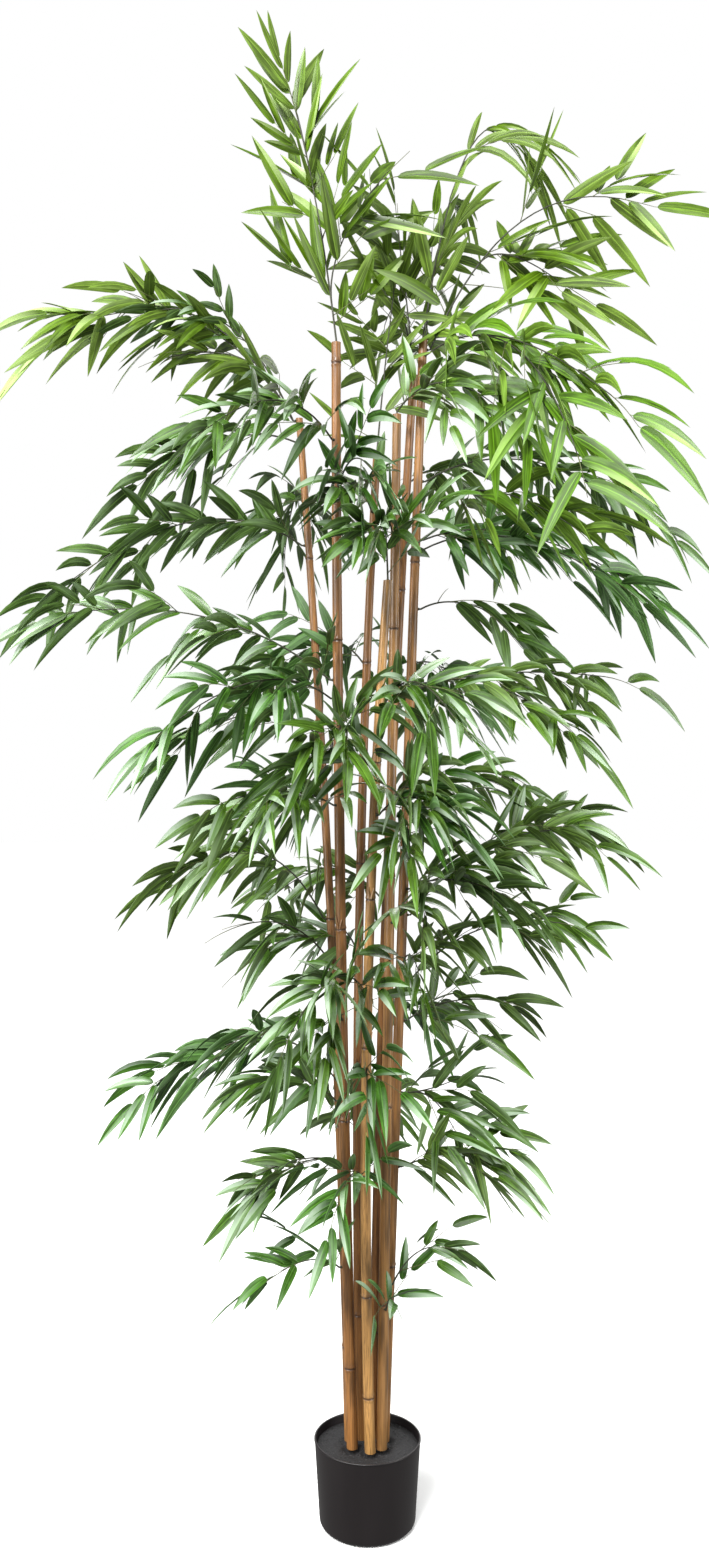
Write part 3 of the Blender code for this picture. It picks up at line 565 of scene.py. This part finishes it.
def point_of(leaf, share):
    """A point of a leaf's rib."""
    fall = UP * leaf.droop * leaf.length * share**2
    return leaf.root + leaf.direction * (PETIOLE + leaf.length * share) - fall


def within_the_box(leaf):
    """The leaf, shortened where it would reach out of the part's box."""
    for size in SHORTENINGS:
        fitted = leaf._replace(length=leaf.length * size)
        if all(low < value < high for low, value, high in zip(CAD_BOX[0], point_of(fitted, 1.0), CAD_BOX[1])):
            break
    return fitted


def leaf_is_clear(leaf):
    """Whether a leaf leaves the sky and the canes free, and keeps above the crown's floor."""
    middle = leaf.root + leaf.direction * leaf.length * SKY_SHARE - UP * leaf.droop * leaf.length * SKY_SHARE**2
    if any(left < middle.x < right and low < middle.z < high for left, right, low, high in SKY):
        return False
    points = [point_of(leaf, share) for share in LEAF_CHECKS]
    return all(point.z >= CROWN_FLOOR and off_the_canes(point, FREE) for point in points)


# ---- Materials ----


class Nodes:
    """Short ways to join one material's nodes."""

    def __init__(self, name):
        self.material = bpy.data.materials.new(name)
        self.material.use_nodes = True
        self.tree = self.material.node_tree
        self.shader = self.tree.nodes["Principled BSDF"]

    def feed(self, socket, value):
        if isinstance(value, bpy.types.NodeSocket):
            self.tree.links.new(value, socket)
        else:
            socket.default_value = value

    def node(self, kind, inputs=(), **settings):
        made = self.tree.nodes.new("ShaderNode" + kind)
        for key, value in settings.items():
            setattr(made, key, value)
        for key, value in dict(inputs).items():
            self.feed(made.inputs[key], value)
        return made

    def set(self, **inputs):
        for key, value in inputs.items():
            self.feed(self.shader.inputs[key.replace("_", " ")], value)
        return self.material

    def mix(self, share, first, second, kind="MIX"):
        made = self.node("Mix", {0: share}, data_type="RGBA", blend_type=kind)
        for index, value in ((6, first), (7, second)):
            self.feed(made.inputs[index], (*value, 1) if isinstance(value, tuple) else value)
        return made.outputs[2]

    def shade(self, base, factor):
        return self.mix(1.0, base, factor, "MULTIPLY")

    def ramp(self, value, *stops):
        made = self.node("ValToRGB", {"Fac": value})
        elements = made.color_ramp.elements
        while len(elements) < len(stops):
            elements.new(0.5)
        for element, (place, grey) in zip(elements, stops):
            element.position = place
            element.color = (grey, grey, grey, 1)
        return made.outputs["Color"]

    def span(self, value, low, high):
        return self.node("MapRange", {"Value": value, "To Min": low, "To Max": high}).outputs[0]

    def math(self, kind, first, second=0.0):
        return self.node("Math", {0: first, 1: second}, operation=kind).outputs[0]

    def bump(self, height, strength, distance):
        return self.node("Bump", {"Height": height, "Strength": strength, "Distance": distance}).outputs["Normal"]

    def place(self, scale=(1, 1, 1), offset=(0, 0, 0)):
        coordinates = self.node("TexCoord").outputs["Object"]
        return self.node("Mapping", {"Vector": coordinates, "Location": offset, "Scale": scale}).outputs["Vector"]

    def grain(self, vector, scale, detail, roughness=0.5):
        inputs = {"Vector": vector, "Scale": scale, "Detail": detail, "Roughness": roughness}
        return self.node("TexNoise", inputs).outputs["Fac"]

    def mark(self):
        """The three channels of the colour kept in the mesh."""
        return self.node("SeparateColor", {"Color": self.node("VertexColor", layer_name="mark").outputs[0]}).outputs


def leaf_material(name, colour, pale, pale_share, rough, specular, shine):
    """Printed fabric: streaks along the blade, a light rib, light margins; and a painted sheen towards the tip, and on
    some blades a pale painted highlight on one half.
    """
    made = Nodes(name)
    math, ramp = made.math, made.ramp
    split = made.node("SeparateXYZ", {"Vector": made.node("UVMap", uv_map="leaf").outputs["UV"]})
    along, across = split.outputs["X"], split.outputs["Y"]
    highlight_and_grain_dice, _, light_dice = made.mark()

    def blade_grain(length_scale, width_scale, apart, detail):
        """Noise in the blade's own measures, apart from one leaf to the next."""
        lengths = math("ADD", math("MULTIPLY", along, length_scale), math("MULTIPLY", highlight_and_grain_dice, apart))
        inputs = {"X": lengths, "Y": math("MULTIPLY", across, width_scale), "Z": 0.0}
        return made.grain(made.node("CombineXYZ", inputs).outputs[0], 1.0, detail)

    cloud = made.grain(made.place(), 45.0, 2.0)
    streak = blade_grain(2.2, 4.0, 40.0, 2.0)
    painted_sheen_patch = blade_grain(0.9, 1.4, 57.0, 1.0)
    off_rib = math("MULTIPLY", math("ABSOLUTE", math("SUBTRACT", across, 0.5)), 2.0)
    bright = tuple(v * 1.35 for v in colour)
    light = tuple(min(1.0, v * 2.0 + 0.01) for v in colour)
    base = made.mix(ramp(off_rib, (0.0, 0.6), (0.25, 0.62), (0.8, 0.8), (1.0, 1.0)), (0.0, 0.0, 0.0), bright)
    base = made.shade(base, ramp(along, (0.0, 0.62), (0.25, 0.88), (0.7, 1.0), (1.0, 0.95)))
    base = made.shade(base, ramp(cloud, (0.3, 0.8), (0.7, 1.0)))
    base = made.shade(base, ramp(light_dice, (0.0, 0.52), (1.0, 0.98)))
    base = made.mix(ramp(off_rib, (0.02, 0.75), (0.11, 0.0)), base, light)
    base = made.mix(ramp(streak, (0.45, 0.0), (0.72, 0.6)), base, light)
    # Painted highlight: on some blades, one half turns pale towards the tip
    painted_highlight_half = math("MULTIPLY", math("LESS_THAN", highlight_and_grain_dice, pale_share), math("GREATER_THAN", across, 0.5))
    towards_tip = ramp(along, (0.12, 0.0), (0.65, 1.0))
    base = made.mix(math("MULTIPLY", math("MULTIPLY", towards_tip, painted_highlight_half), 0.8), base, pale)
    # Painted sheen: long pale patches towards the tip of every blade, on top and underside
    painted_sheen = made.shade(ramp(along, (0.15, 0.0), (0.8, shine)), ramp(painted_sheen_patch, (0.46, 0.0), (0.64, 1.0)))
    base = made.mix(painted_sheen, base, tuple(0.5 * v + 0.5 * w for v, w in zip(light, pale)))
    base = made.mix(ramp(along, (0.93, 0.0), (1.0, 0.6)), base, (0.05, 0.045, 0.02))
    return made.set(
        Base_Color=base, Roughness=made.span(cloud, rough - 0.08, rough + 0.08),
        Normal=made.bump(streak, 0.12, 0.0003), Specular_IOR_Level=specular,
    )


def plain_material(name, colour, rough, spread=0.25, scale=60.0, bump=0.2, distance=0.0004):
    made = Nodes(name)
    cloud = made.grain(made.place(), scale, 4.0)
    base = made.mix(cloud, tuple(v * (1 - spread) for v in colour), tuple(v * (1 + spread) for v in colour))
    return made.set(Base_Color=base, Roughness=rough, Normal=made.bump(cloud, bump, distance))


def cane_material(name, colour, seed):
    """Lacquered cane: fine streaks along it, blotches, and the marks kept in the mesh for rings, cut ends and the
    painted shade in its hollow.
    """
    made = Nodes(name)
    offset = (seed * 3.1, seed * 1.7, seed * 0.9)
    streak = made.grain(made.place((900, 900, 7), offset), 1.0, 6.0, 0.65)
    blotch = made.grain(made.place((70, 70, 9), offset), 1.0, 3.0)
    broad = made.grain(made.place((110, 110, 1.6), offset), 1.0, 2.0)
    light = tuple(min(1.0, v * 1.45) for v in colour)
    dark = tuple(v * 0.3 for v in colour)
    _, ring, cut = made.mark()
    base = made.mix(made.ramp(broad, (0.44, 0.0), (0.56, 1.0)), colour, light)
    base = made.mix(made.ramp(blotch, (0.46, 0.0), (0.66, 0.85)), base, dark)
    base = made.mix(made.ramp(streak, (0.48, 0.0), (0.62, 0.75)), base, dark)
    # Dark joints, and the painted shade in the hollow at the cut top, both from the mesh's ring channel
    base = made.mix(ring, base, (0.055, 0.026, 0.014))
    base = made.mix(cut, base, (0.6, 0.42, 0.24))
    return made.set(
        Base_Color=base, Roughness=made.span(streak, 0.3, 0.52), Normal=made.bump(streak, 0.25, 0.0003),
        Coat_Weight=0.25, Coat_Roughness=0.25,
    )


# ---- Canes ----

CANE_SIDES = 28
CANE_START = FILL_TOP + 0.0005
RING_STEP = 0.0012
RING_STEPS = 8  # close stations on each side of a ring
PLAIN_STEP = 0.014
CANE_SLIM = 0.97  # the bark's radius between the joints, as a share of the solid's
CANE_WANDER = 0.022  # and how far it wanders from that
GROOVE = 0.1  # depth of the groove that rises from a joint, as a share of the radius
GROOVE_LENGTH = 0.05
CUT_WALL = 0.66  # inner edge of a cane's cut wall, as a share of its radius
HOLLOW = (0.62, 0.004)  # the hollow's floor: share of the radius, and depth
STUB_LENGTH = 0.026
STUB_RADII = (0.0016, 0.0013, 0.0011, 0.0008)
STUBLESS = 0.35  # share of the joints that carry no stubs
CANE_COLOURS = {
    "a": (0.27, 0.125, 0.038), "b": (0.24, 0.106, 0.03), "c": (0.23, 0.102, 0.028), "d": (0.34, 0.172, 0.056),
    "e": (0.25, 0.112, 0.033), "f": (0.29, 0.138, 0.042), "g": (0.36, 0.19, 0.06),
}


def bell(gap, middle, width):
    return exp(-((gap - middle) / width) ** 2)


def cane_heights(cane):
    """Close stations round each ring and wide ones between."""
    length = cane.top[2] - FILL_TOP
    steps = int(length / PLAIN_STEP)
    heights = {CANE_START, cane.top[2]} | {CANE_START + length * step / steps for step in range(1, steps)}
    for ring in cane.rings:
        heights |= {ring + RING_STEP * step for step in range(-RING_STEPS, RING_STEPS + 1)}
    return sorted(height for height in heights if height <= cane.top[2])


def ring_shape(gap):
    """Swelling of the cane by distance above a ring: a lip under the scar, the scar, and the joint's ridge."""
    return 0.1 * bell(gap, 0.0025, 0.003) + 0.06 * bell(gap, -0.003, 0.0022) - 0.1 * bell(gap, -0.0002, 0.001)


def ring_darkness(gap):
    return min(1.0, 0.95 * bell(gap, -0.0002, 0.0016) + 0.35 * bell(gap, 0.004, 0.006))


def cane_piece(letter):
    cane = CANES[letter]
    dice = random.Random("cane " + letter)
    sheaf = Sheaf()
    rings = []
    phase = dice.uniform(0, tau)
    for height in cane_heights(cane):
        upright = height <= FILL_TOP + FOOT_STRAIGHT
        centre = Vector((*cane.foot, height)) if upright else cane_axis(cane, height)
        gap = height - min(cane.rings, key=lambda ring: abs(height - ring))
        below = [ring for ring in cane.rings if ring <= height]
        risen = height - below[-1] if below else 1.0
        groove = exp(-risen / GROOVE_LENGTH) * (GROOVE if risen > 0.002 else 0.0)
        groove_at = phase + pi * (len(below) % 2)
        ring = []
        for angle in turns(CANE_SIDES):
            spot = Vector((cos(angle) * 1.2, sin(angle) * 1.2, height * 9 + ord(letter) * 1.37))
            near = cos(angle - groove_at)
            radius = cane_radius(cane, height) * (
                CANE_SLIM + CANE_WANDER * noise.noise(spot) + ring_shape(gap) * (1 + 0.25 * near)
                - groove * max(0.0, near) ** 6
            )
            ring.append(centre + spoke(angle) * radius)
        rings.append((gap, sheaf.add_ring(ring)))
    for (low_gap, lower), (high_gap, upper) in zip(rings, rings[1:]):
        low, high = ((0.5, ring_darkness(gap), 0.0, 1.0) for gap in (low_gap, high_gap))
        for corners in quads(lower, upper):
            sheaf.add_face(corners)
            sheaf.marks[-4:] = (low, low, high, high)
    sheaf.add_face(reversed(rings[0][1]))
    cut_top(sheaf, cane, rings[-1][1])
    add_stubs(sheaf, cane, dice)
    name = "cane_" + letter
    material = cane_material(name, CANE_COLOURS[letter], ord(letter))
    finish(sheaf.object(name + "_bark", [material], crease=50), "cane", name)


def cut_top(sheaf, cane, rim):
    """The cut wall of the cane, and its hollow a little way down, painted dark as shade and darkest at its floor."""
    centre = Vector(cane.top)
    points = [Vector(sheaf.points[index]) for index in rim]
    inner = sheaf.add_ring([centre + (point - centre) * CUT_WALL for point in points])
    deep = sheaf.add_ring([centre + (point - centre) * HOLLOW[0] - UP * HOLLOW[1] for point in points])
    for cut, hollow in zip(quads(rim, inner), quads(inner, deep)):
        sheaf.add_face(cut, mark=(0.5, 0.0, 1.0, 1.0))
        # Painted shade: the hollow's wall is marked 0.8 dark, and its floor below fully dark
        sheaf.add_face(hollow, mark=(0.5, 0.8, 0.0, 1.0))
    sheaf.add_face(deep, mark=(0.5, 1.0, 0.0, 1.0))


def add_stubs(sheaf, cane, dice):
    """Pairs of trimmed side shoots that rise close to the cane from some of its joints."""
    for ring in cane.rings[1:]:
        if dice.random() < STUBLESS or ring + STUB_LENGTH > cane.top[2]:
            continue
        middle = radians(dice.uniform(-120, -60))
        for lean in (-1, 1):
            length = STUB_LENGTH * dice.uniform(0.6, 1.1)
            points = []
            for step in range(4):
                height = ring + 0.001 + length * step / 3
                angle = middle + lean * (0.12 + 0.42 * step / 3)
                reach = cane_radius(cane, height) * 1.02 + 0.0006 + 0.001 * step / 3
                points.append(cane_axis(cane, height) + spoke(angle) * reach)
            sheaf.tube(points, STUB_RADII, 6)


# ---- Pot and filling ----

POT_STEPS = 128
POT_WALL_STEPS = 10
LIP_UNDER = (0.0011, 0.0046)  # where the lip meets the wall: in from the rim, and down from the top
SOLE = [(0.06, 0.0), (0.058, 0.0008), (0, 0.0008)]  # the standing edge and the raised floor inside it
FILL_STEPS = 160
FILL_RINGS = 46
FILL_EDGE = 0.0004
FILL_SUNK = 0.001
MOAT = (0.006, 0.007)  # depth and width of the filling's dip round a cane
CRUMBS = 420
CRUMB_SIZES = (0.0005, 0.0014)
CRUMB_EDGE = 0.004
CRUMB_SIDES = 5


def arc(centre, radius, start, end, steps):
    angles = [radians(start + (end - start) * step / steps) for step in range(steps + 1)]
    return [(centre[0] + radius * cos(angle), centre[1] + radius * sin(angle)) for angle in angles]


def inner_wall_radius(height):
    share = (height - POT_FOOT_ROUNDING) / (POT_HEIGHT - POT_LIP - POT_FOOT_ROUNDING)
    return between(POT_FOOT_RADIUS - POT_WALL, POT_RIM_RADIUS - 2 * POT_LIP, share)


def level_ring(sheaf, radius, steps, height_at):
    """A ring of points about the pot's axis, or one point on it."""
    spots = [(radius * cos(angle), radius * sin(angle)) for angle in (turns(steps) if radius else [0])]
    return sheaf.add_ring([Vector((x, y, height_at(x, y))) for x, y in spots])


def turned_rings(sheaf, profile, steps):
    return [level_ring(sheaf, radius, steps, lambda x, y: height) for radius, height in profile]


CORNER = (POT_FOOT_RADIUS - POT_FOOT_ROUNDING, POT_FOOT_ROUNDING)


def pot_piece():
    wall = ((POT_RIM_RADIUS - LIP_UNDER[0], POT_FOOT_RADIUS), (POT_HEIGHT - LIP_UNDER[1], POT_FOOT_ROUNDING))
    profile = [(0, POT_WALL)] + arc(CORNER, POT_FOOT_ROUNDING - POT_WALL, -90, 0, 8)
    profile += arc((POT_RIM_RADIUS - POT_LIP, POT_HEIGHT - POT_LIP), POT_LIP, 180, -70, 12)
    for step in range(POT_WALL_STEPS):
        profile.append([between(*ends, step / POT_WALL_STEPS) for ends in wall])
    profile += arc(CORNER, POT_FOOT_ROUNDING, 0, -90, 10) + SOLE
    sheaf = Sheaf()
    sheaf.join(turned_rings(sheaf, profile, POT_STEPS))
    made = Nodes("pot_plastic")
    fine = made.grain(made.place(), 700.0, 2.0)
    broad = made.grain(made.place((1, 1, 0.3)), 22.0, 3.0)
    made.set(
        Base_Color=made.mix(broad, (0.007, 0.0052, 0.0056), (0.0115, 0.0088, 0.0094)),
        Roughness=made.span(broad, 0.34, 0.46), Normal=made.bump(fine, 0.12, 0.0002), Specular_IOR_Level=0.4,
    )
    finish(sheaf.object("pot_shell", [made.material], crease=45), "pot", "pot")


def fill_height(x, y):
    """The poured top: grainy, a little uneven, and sunk where the canes go in."""
    point = Vector((x, y, 0))
    grain = noise.noise(point * 420) * 0.0007 + noise.noise(point * 950) * 0.0005
    swell = noise.noise(point * 60) * 0.0012
    gap = min((point.xy - Vector(cane.foot)).length - cane.foot_radius for cane in CANES.values())
    return FILL_TOP - FILL_SUNK + grain + swell - MOAT[0] * bell(max(gap, 0.0), 0.0, MOAT[1])


def fill_piece():
    sheaf = Sheaf()
    outer = inner_wall_radius(FILL_TOP) - FILL_EDGE
    rings = [level_ring(sheaf, outer * index / FILL_RINGS, FILL_STEPS, fill_height) for index in range(FILL_RINGS + 1)]
    under = arc(CORNER, POT_FOOT_ROUNDING - POT_WALL - CLEAR, 0, -90, 4) + [(0, POT_WALL + CLEAR)]
    sheaf.join(rings + turned_rings(sheaf, under, FILL_STEPS))
    made = Nodes("fill_grain")
    fine = made.grain(made.place(), 520.0, 5.0)
    base = made.mix(made.ramp(fine, (0.4, 0.0), (0.75, 1.0)), (0.003, 0.003, 0.0033), (0.024, 0.023, 0.026))
    made.set(Base_Color=base, Roughness=0.75, Normal=made.bump(fine, 0.7, 0.0012))
    finish(sheaf.object("fill_top", [made.material]), "fill", "fill")


def crumbs():
    """Loose grains on the filling."""
    dice = random.Random("crumbs")
    sheaf = Sheaf()
    outer = inner_wall_radius(FILL_TOP) - CRUMB_EDGE
    for _ in range(CRUMBS):
        radius, angle = outer * dice.random() ** 0.5, dice.uniform(0, tau)
        x, y = radius * cos(angle), radius * sin(angle)
        if not off_the_canes(Vector((x, y, FILL_TOP + 0.001)), 0.001):
            continue
        size = dice.uniform(*CRUMB_SIZES)
        centre = Vector((x, y, fill_height(x, y) + size * 0.4))
        half = Vector((0, 0, size * 0.8))
        top = sheaf.add_ring([centre + half])[0]
        ways = [spoke(angle) * size * dice.uniform(0.7, 1.2) for angle in turns(CRUMB_SIDES)]
        ring = sheaf.add_ring([centre + way for way in ways])
        foot = sheaf.add_ring([centre - half])[0]
        for here, after, *_ in quads(ring, ring):
            sheaf.add_face((here, after, top))
            sheaf.add_face((after, here, foot))
    material = plain_material("fill_crumb", (0.03, 0.029, 0.03), 0.7, 0.6, 300.0)
    finish(sheaf.object("fill_crumbs", [material], smooth=False), "fill", "fill")


# ---- Wires, twigs and leaves ----

# A tone's colour, underside colour, pale colour of its painted highlight and painted sheen, share of blades with the
# painted highlight, roughness, painted sheen strength, and count of tints
Look = namedtuple("Look", "colour under pale pale_share rough shine tints")
LOOKS = {
    "light": Look((0.068, 0.135, 0.003), (0.092, 0.16, 0.016), (0.4, 0.54, 0.2), 0.42, 0.32, 0.34, 2),
    "bright": Look((0.068, 0.158, 0.004), (0.106, 0.198, 0.016), (0.3, 0.47, 0.12), 0.32, 0.34, 0.34, 1),
    "dark": Look((0.058, 0.128, 0.01), (0.086, 0.156, 0.026), (0.42, 0.53, 0.4), 0.58, 0.28, 0.62, 4),
}
TINTS = ((1.0, 1.0), (1.1, 1.02), (0.9, 0.92), (1.06, 0.78))  # of a tone: how light, and how yellow
GLOSS, UNDER_GLOSS, UNDER_ROUGH = 0.28, 0.22, 0.45


def tone_of(branch):
    return "light" if branch.name.startswith("top") else LEAF_TONES.get(branch.name, "dark")


def part_of_crown(branch):
    """The joined piece of leaves that a branch's leaves go into."""
    tone = tone_of(branch)
    return tone if tone != "dark" else "dark_" + branch.name.split("_")[0]


def tinted(colour, index):
    """One of the tints that sprays of a tone are dealt: a little lighter, darker, yellower or bluer."""
    lift, yellow = TINTS[index]
    return (colour[0] * lift * yellow, colour[1] * lift, colour[2] * lift / yellow)


def tapered(first, last, count):
    return [first + (last - first) * step / (count - 1) for step in range(count)]


def add_wires(wires, arms):
    """The wires of a branch. The first comes out of the cane by a collar, and starts thicker."""
    for arm in arms:
        points = [arch(*arm.curve, share) for share in tapered(0, 1, WIRE_STATIONS)]
        if arm is not arms[0]:
            wires.tube(points, tapered(*WIRE_RADII, len(points)), 8)
            continue
        peg = arm.curve[0] - arm.foot
        points = [arm.foot - peg * 0.5, arm.foot] + points
        wires.tube(points, tapered(BOUGH_RADIUS, WIRE_RADII[1], len(points)), 8)
        wires.tube((arm.foot - peg * 0.4, arm.foot + peg * 0.4), COLLAR_RADII, 10)


def grow(branch, wires, twigs, foliage):
    """Adds one branch: its wires, its twigs that keep off the canes, and the leaves that may stay."""
    arms = arms_of(branch)
    branch = branch._replace(sag=SAGS.get(branch.name, branch.sag))
    dice = random.Random(branch.name + " leaves")
    tint = random.Random(branch.name + " tint").randrange(LOOKS[tone_of(branch)].tints)
    add_wires(wires, arms)
    leaves = [leaf for arm in arms for leaf in arm_leaves(branch, arm, dice)]
    for twig in twigs_of(branch, arms):
        if off_the_canes(twig.curve[2], FREE):
            twigs.tube([arch(*twig.curve, step / 4) for step in range(5)], tapered(*TWIG_RADII, 5), 5)
            leaves.extend(twig_leaves(branch, twig, dice))
    kept = min((share for share, names in LEAFINESS.items() if branch.name in names.split()), default=1.0)
    for leaf in map(within_the_box, leaves):
        if dice.random() < kept and leaf_is_clear(leaf):
            add_leaf(foliage, leaf, tint)


def foliage_materials(group, look):
    """Top, underside and stalk for each tint of a piece of leaves."""
    materials = []
    for index in range(look.tints):
        shade, under = tinted(look.colour, index), tinted(look.under, index)
        materials += [
            leaf_material(f"leaf_{group}_{index}", shade, look.pale, look.pale_share, look.rough, GLOSS, look.shine),
            leaf_material(f"under_{group}_{index}", under, look.pale, 0.0, UNDER_ROUGH, UNDER_GLOSS, look.shine),
            plain_material(f"rib_{group}_{index}", tuple(v * 1.5 + 0.03 for v in shade), 0.5),
        ]
    return materials


def crown():
    wires, twigs, sheaves = Sheaf(), Sheaf(), {}
    for branch in BRANCHES + SPRIGS:
        grow(branch, wires, twigs, sheaves.setdefault(part_of_crown(branch), Sheaf()))
    for group, sheaf in sheaves.items():
        tone = group.split("_")[0]
        masses = ["leaves_" + branch.name for branch in BRANCHES if part_of_crown(branch) == group]
        piece = sheaf.object("foliage_" + group, foliage_materials(group, LOOKS[tone]), crease=50)
        finish(piece, "leaf_" + tone, *masses)
    masses = ["leaves_" + branch.name for branch in BRANCHES]
    boughs = ["bough_" + branch.name for branch in BRANCHES if branch.bough]
    wrap = plain_material("wire_wrap", (0.03, 0.032, 0.016), 0.55, 0.4, 500.0, 0.5)
    finish(wires.object("wires", [wrap]), "wire", *masses, *boughs)
    wrap = plain_material("twig_wrap", (0.085, 0.095, 0.03), 0.55, 0.4, 400.0, 0.4, 0.0003)
    finish(twigs.object("twigs", [wrap]), "wire", *masses)


def finish(piece, slot, *nodes):
    """Rides the piece on the one body and hides the solids that it stands for; its slot is not used."""
    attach(piece, "root")
    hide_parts(*nodes)


# ---- Stage ----

FLOOR_REACH = 20
FLOOR_DROP = 0.0005
# Name, place, height looked at, width and height, watts, colour
LIGHTS = (
    ("left", (-2.6, -1.6, 1.9), 1.2, (1.2, 2.6), 90, (1.0, 1.0, 0.99)),
    ("right", (2.6, -1.2, 1.7), 1.1, (1.2, 2.6), 75, (1.0, 1.0, 0.99)),
    ("key", (-0.9, -2.7, 3.4), 1.3, (0.9, 0.9), 130, (1.0, 1.0, 1.0)),
    ("rim", (0.6, 2.6, 2.4), 1.3, (2.4, 1.4), 50, (1.0, 1.0, 1.0)),
)
SUN = ((0.35, 0.55, -1.0), 3.2, 45)  # its way, strength and breadth in degrees
WORLD_COLOUR, WORLD_STRENGTH = (1, 1, 0.98, 1), 0.34
CAMERA_PLACE = (-0.0206, -2.042, 1.1825)
CAMERA_LENS, CAMERA_SENSOR = 30, 36


def floor():
    made = Nodes("floor_paper")
    cloud = made.grain(made.place(), 3.0, 2.0)
    made.set(Base_Color=made.mix(cloud, (0.9, 0.9, 0.9), (0.93, 0.93, 0.93)), Roughness=0.9)
    sheaf = Sheaf()
    corners = ((-1, -1), (1, -1), (1, 1), (-1, 1))
    sheaf.add_face(sheaf.add_ring([Vector((x, y, 0)) * FLOOR_REACH for x, y in corners]))
    obj = sheaf.object("floor", [made.material], smooth=False)
    obj.location.z = -FLOOR_DROP
    obj.visible_diffuse = False
    obj.visible_glossy = False


def aimed(obj, way):
    obj.rotation_euler = Vector(way).to_track_quat("-Z", "Y").to_euler()


def studio():
    """White behind for the camera and dim all round, so that the lights shape the leaves."""
    world = bpy.data.worlds.new("studio")
    bpy.context.scene.world = world
    world.use_nodes = True
    tree = world.node_tree
    seen, dim = tree.nodes["Background"], tree.nodes.new("ShaderNodeBackground")
    for node, strength, colour in ((seen, 1.0, (1, 1, 1, 1)), (dim, WORLD_STRENGTH, WORLD_COLOUR)):
        node.inputs["Strength"].default_value = strength
        node.inputs["Color"].default_value = colour
    path = tree.nodes.new("ShaderNodeLightPath")
    mix = tree.nodes.new("ShaderNodeMixShader")
    tree.links.new(path.outputs["Is Camera Ray"], mix.inputs[0])
    tree.links.new(dim.outputs[0], mix.inputs[1])
    tree.links.new(seen.outputs[0], mix.inputs[2])
    tree.links.new(mix.outputs[0], tree.nodes["World Output"].inputs["Surface"])
    sun = bpy.data.lights.new("top", "SUN")
    way, sun.energy, breadth = SUN
    sun.angle = radians(breadth)
    aimed(placed("top", sun), way)
    for name, place, looked_at, (width, height), watts, colour in LIGHTS:
        light = bpy.data.lights.new(name, "AREA")
        light.shape = "RECTANGLE"
        light.size, light.size_y = width, height
        light.energy = watts
        light.color = colour
        obj = placed(name, light)
        obj.location = place
        aimed(obj, Vector((0, 0, looked_at)) - Vector(place))
    bpy.context.scene.view_settings.view_transform = "Standard"


def camera():
    lens = bpy.data.cameras.new("camera")
    lens.lens = CAMERA_LENS
    lens.sensor_width = CAMERA_SENSOR
    obj = placed("camera", lens)
    obj.location = CAMERA_PLACE
    obj.rotation_euler = (pi / 2, 0, 0)
    bpy.context.scene.camera = obj


pot_piece()
fill_piece()
crumbs()
for letter in CANES:
    cane_piece(letter)
crown()
floor()
studio()
camera()
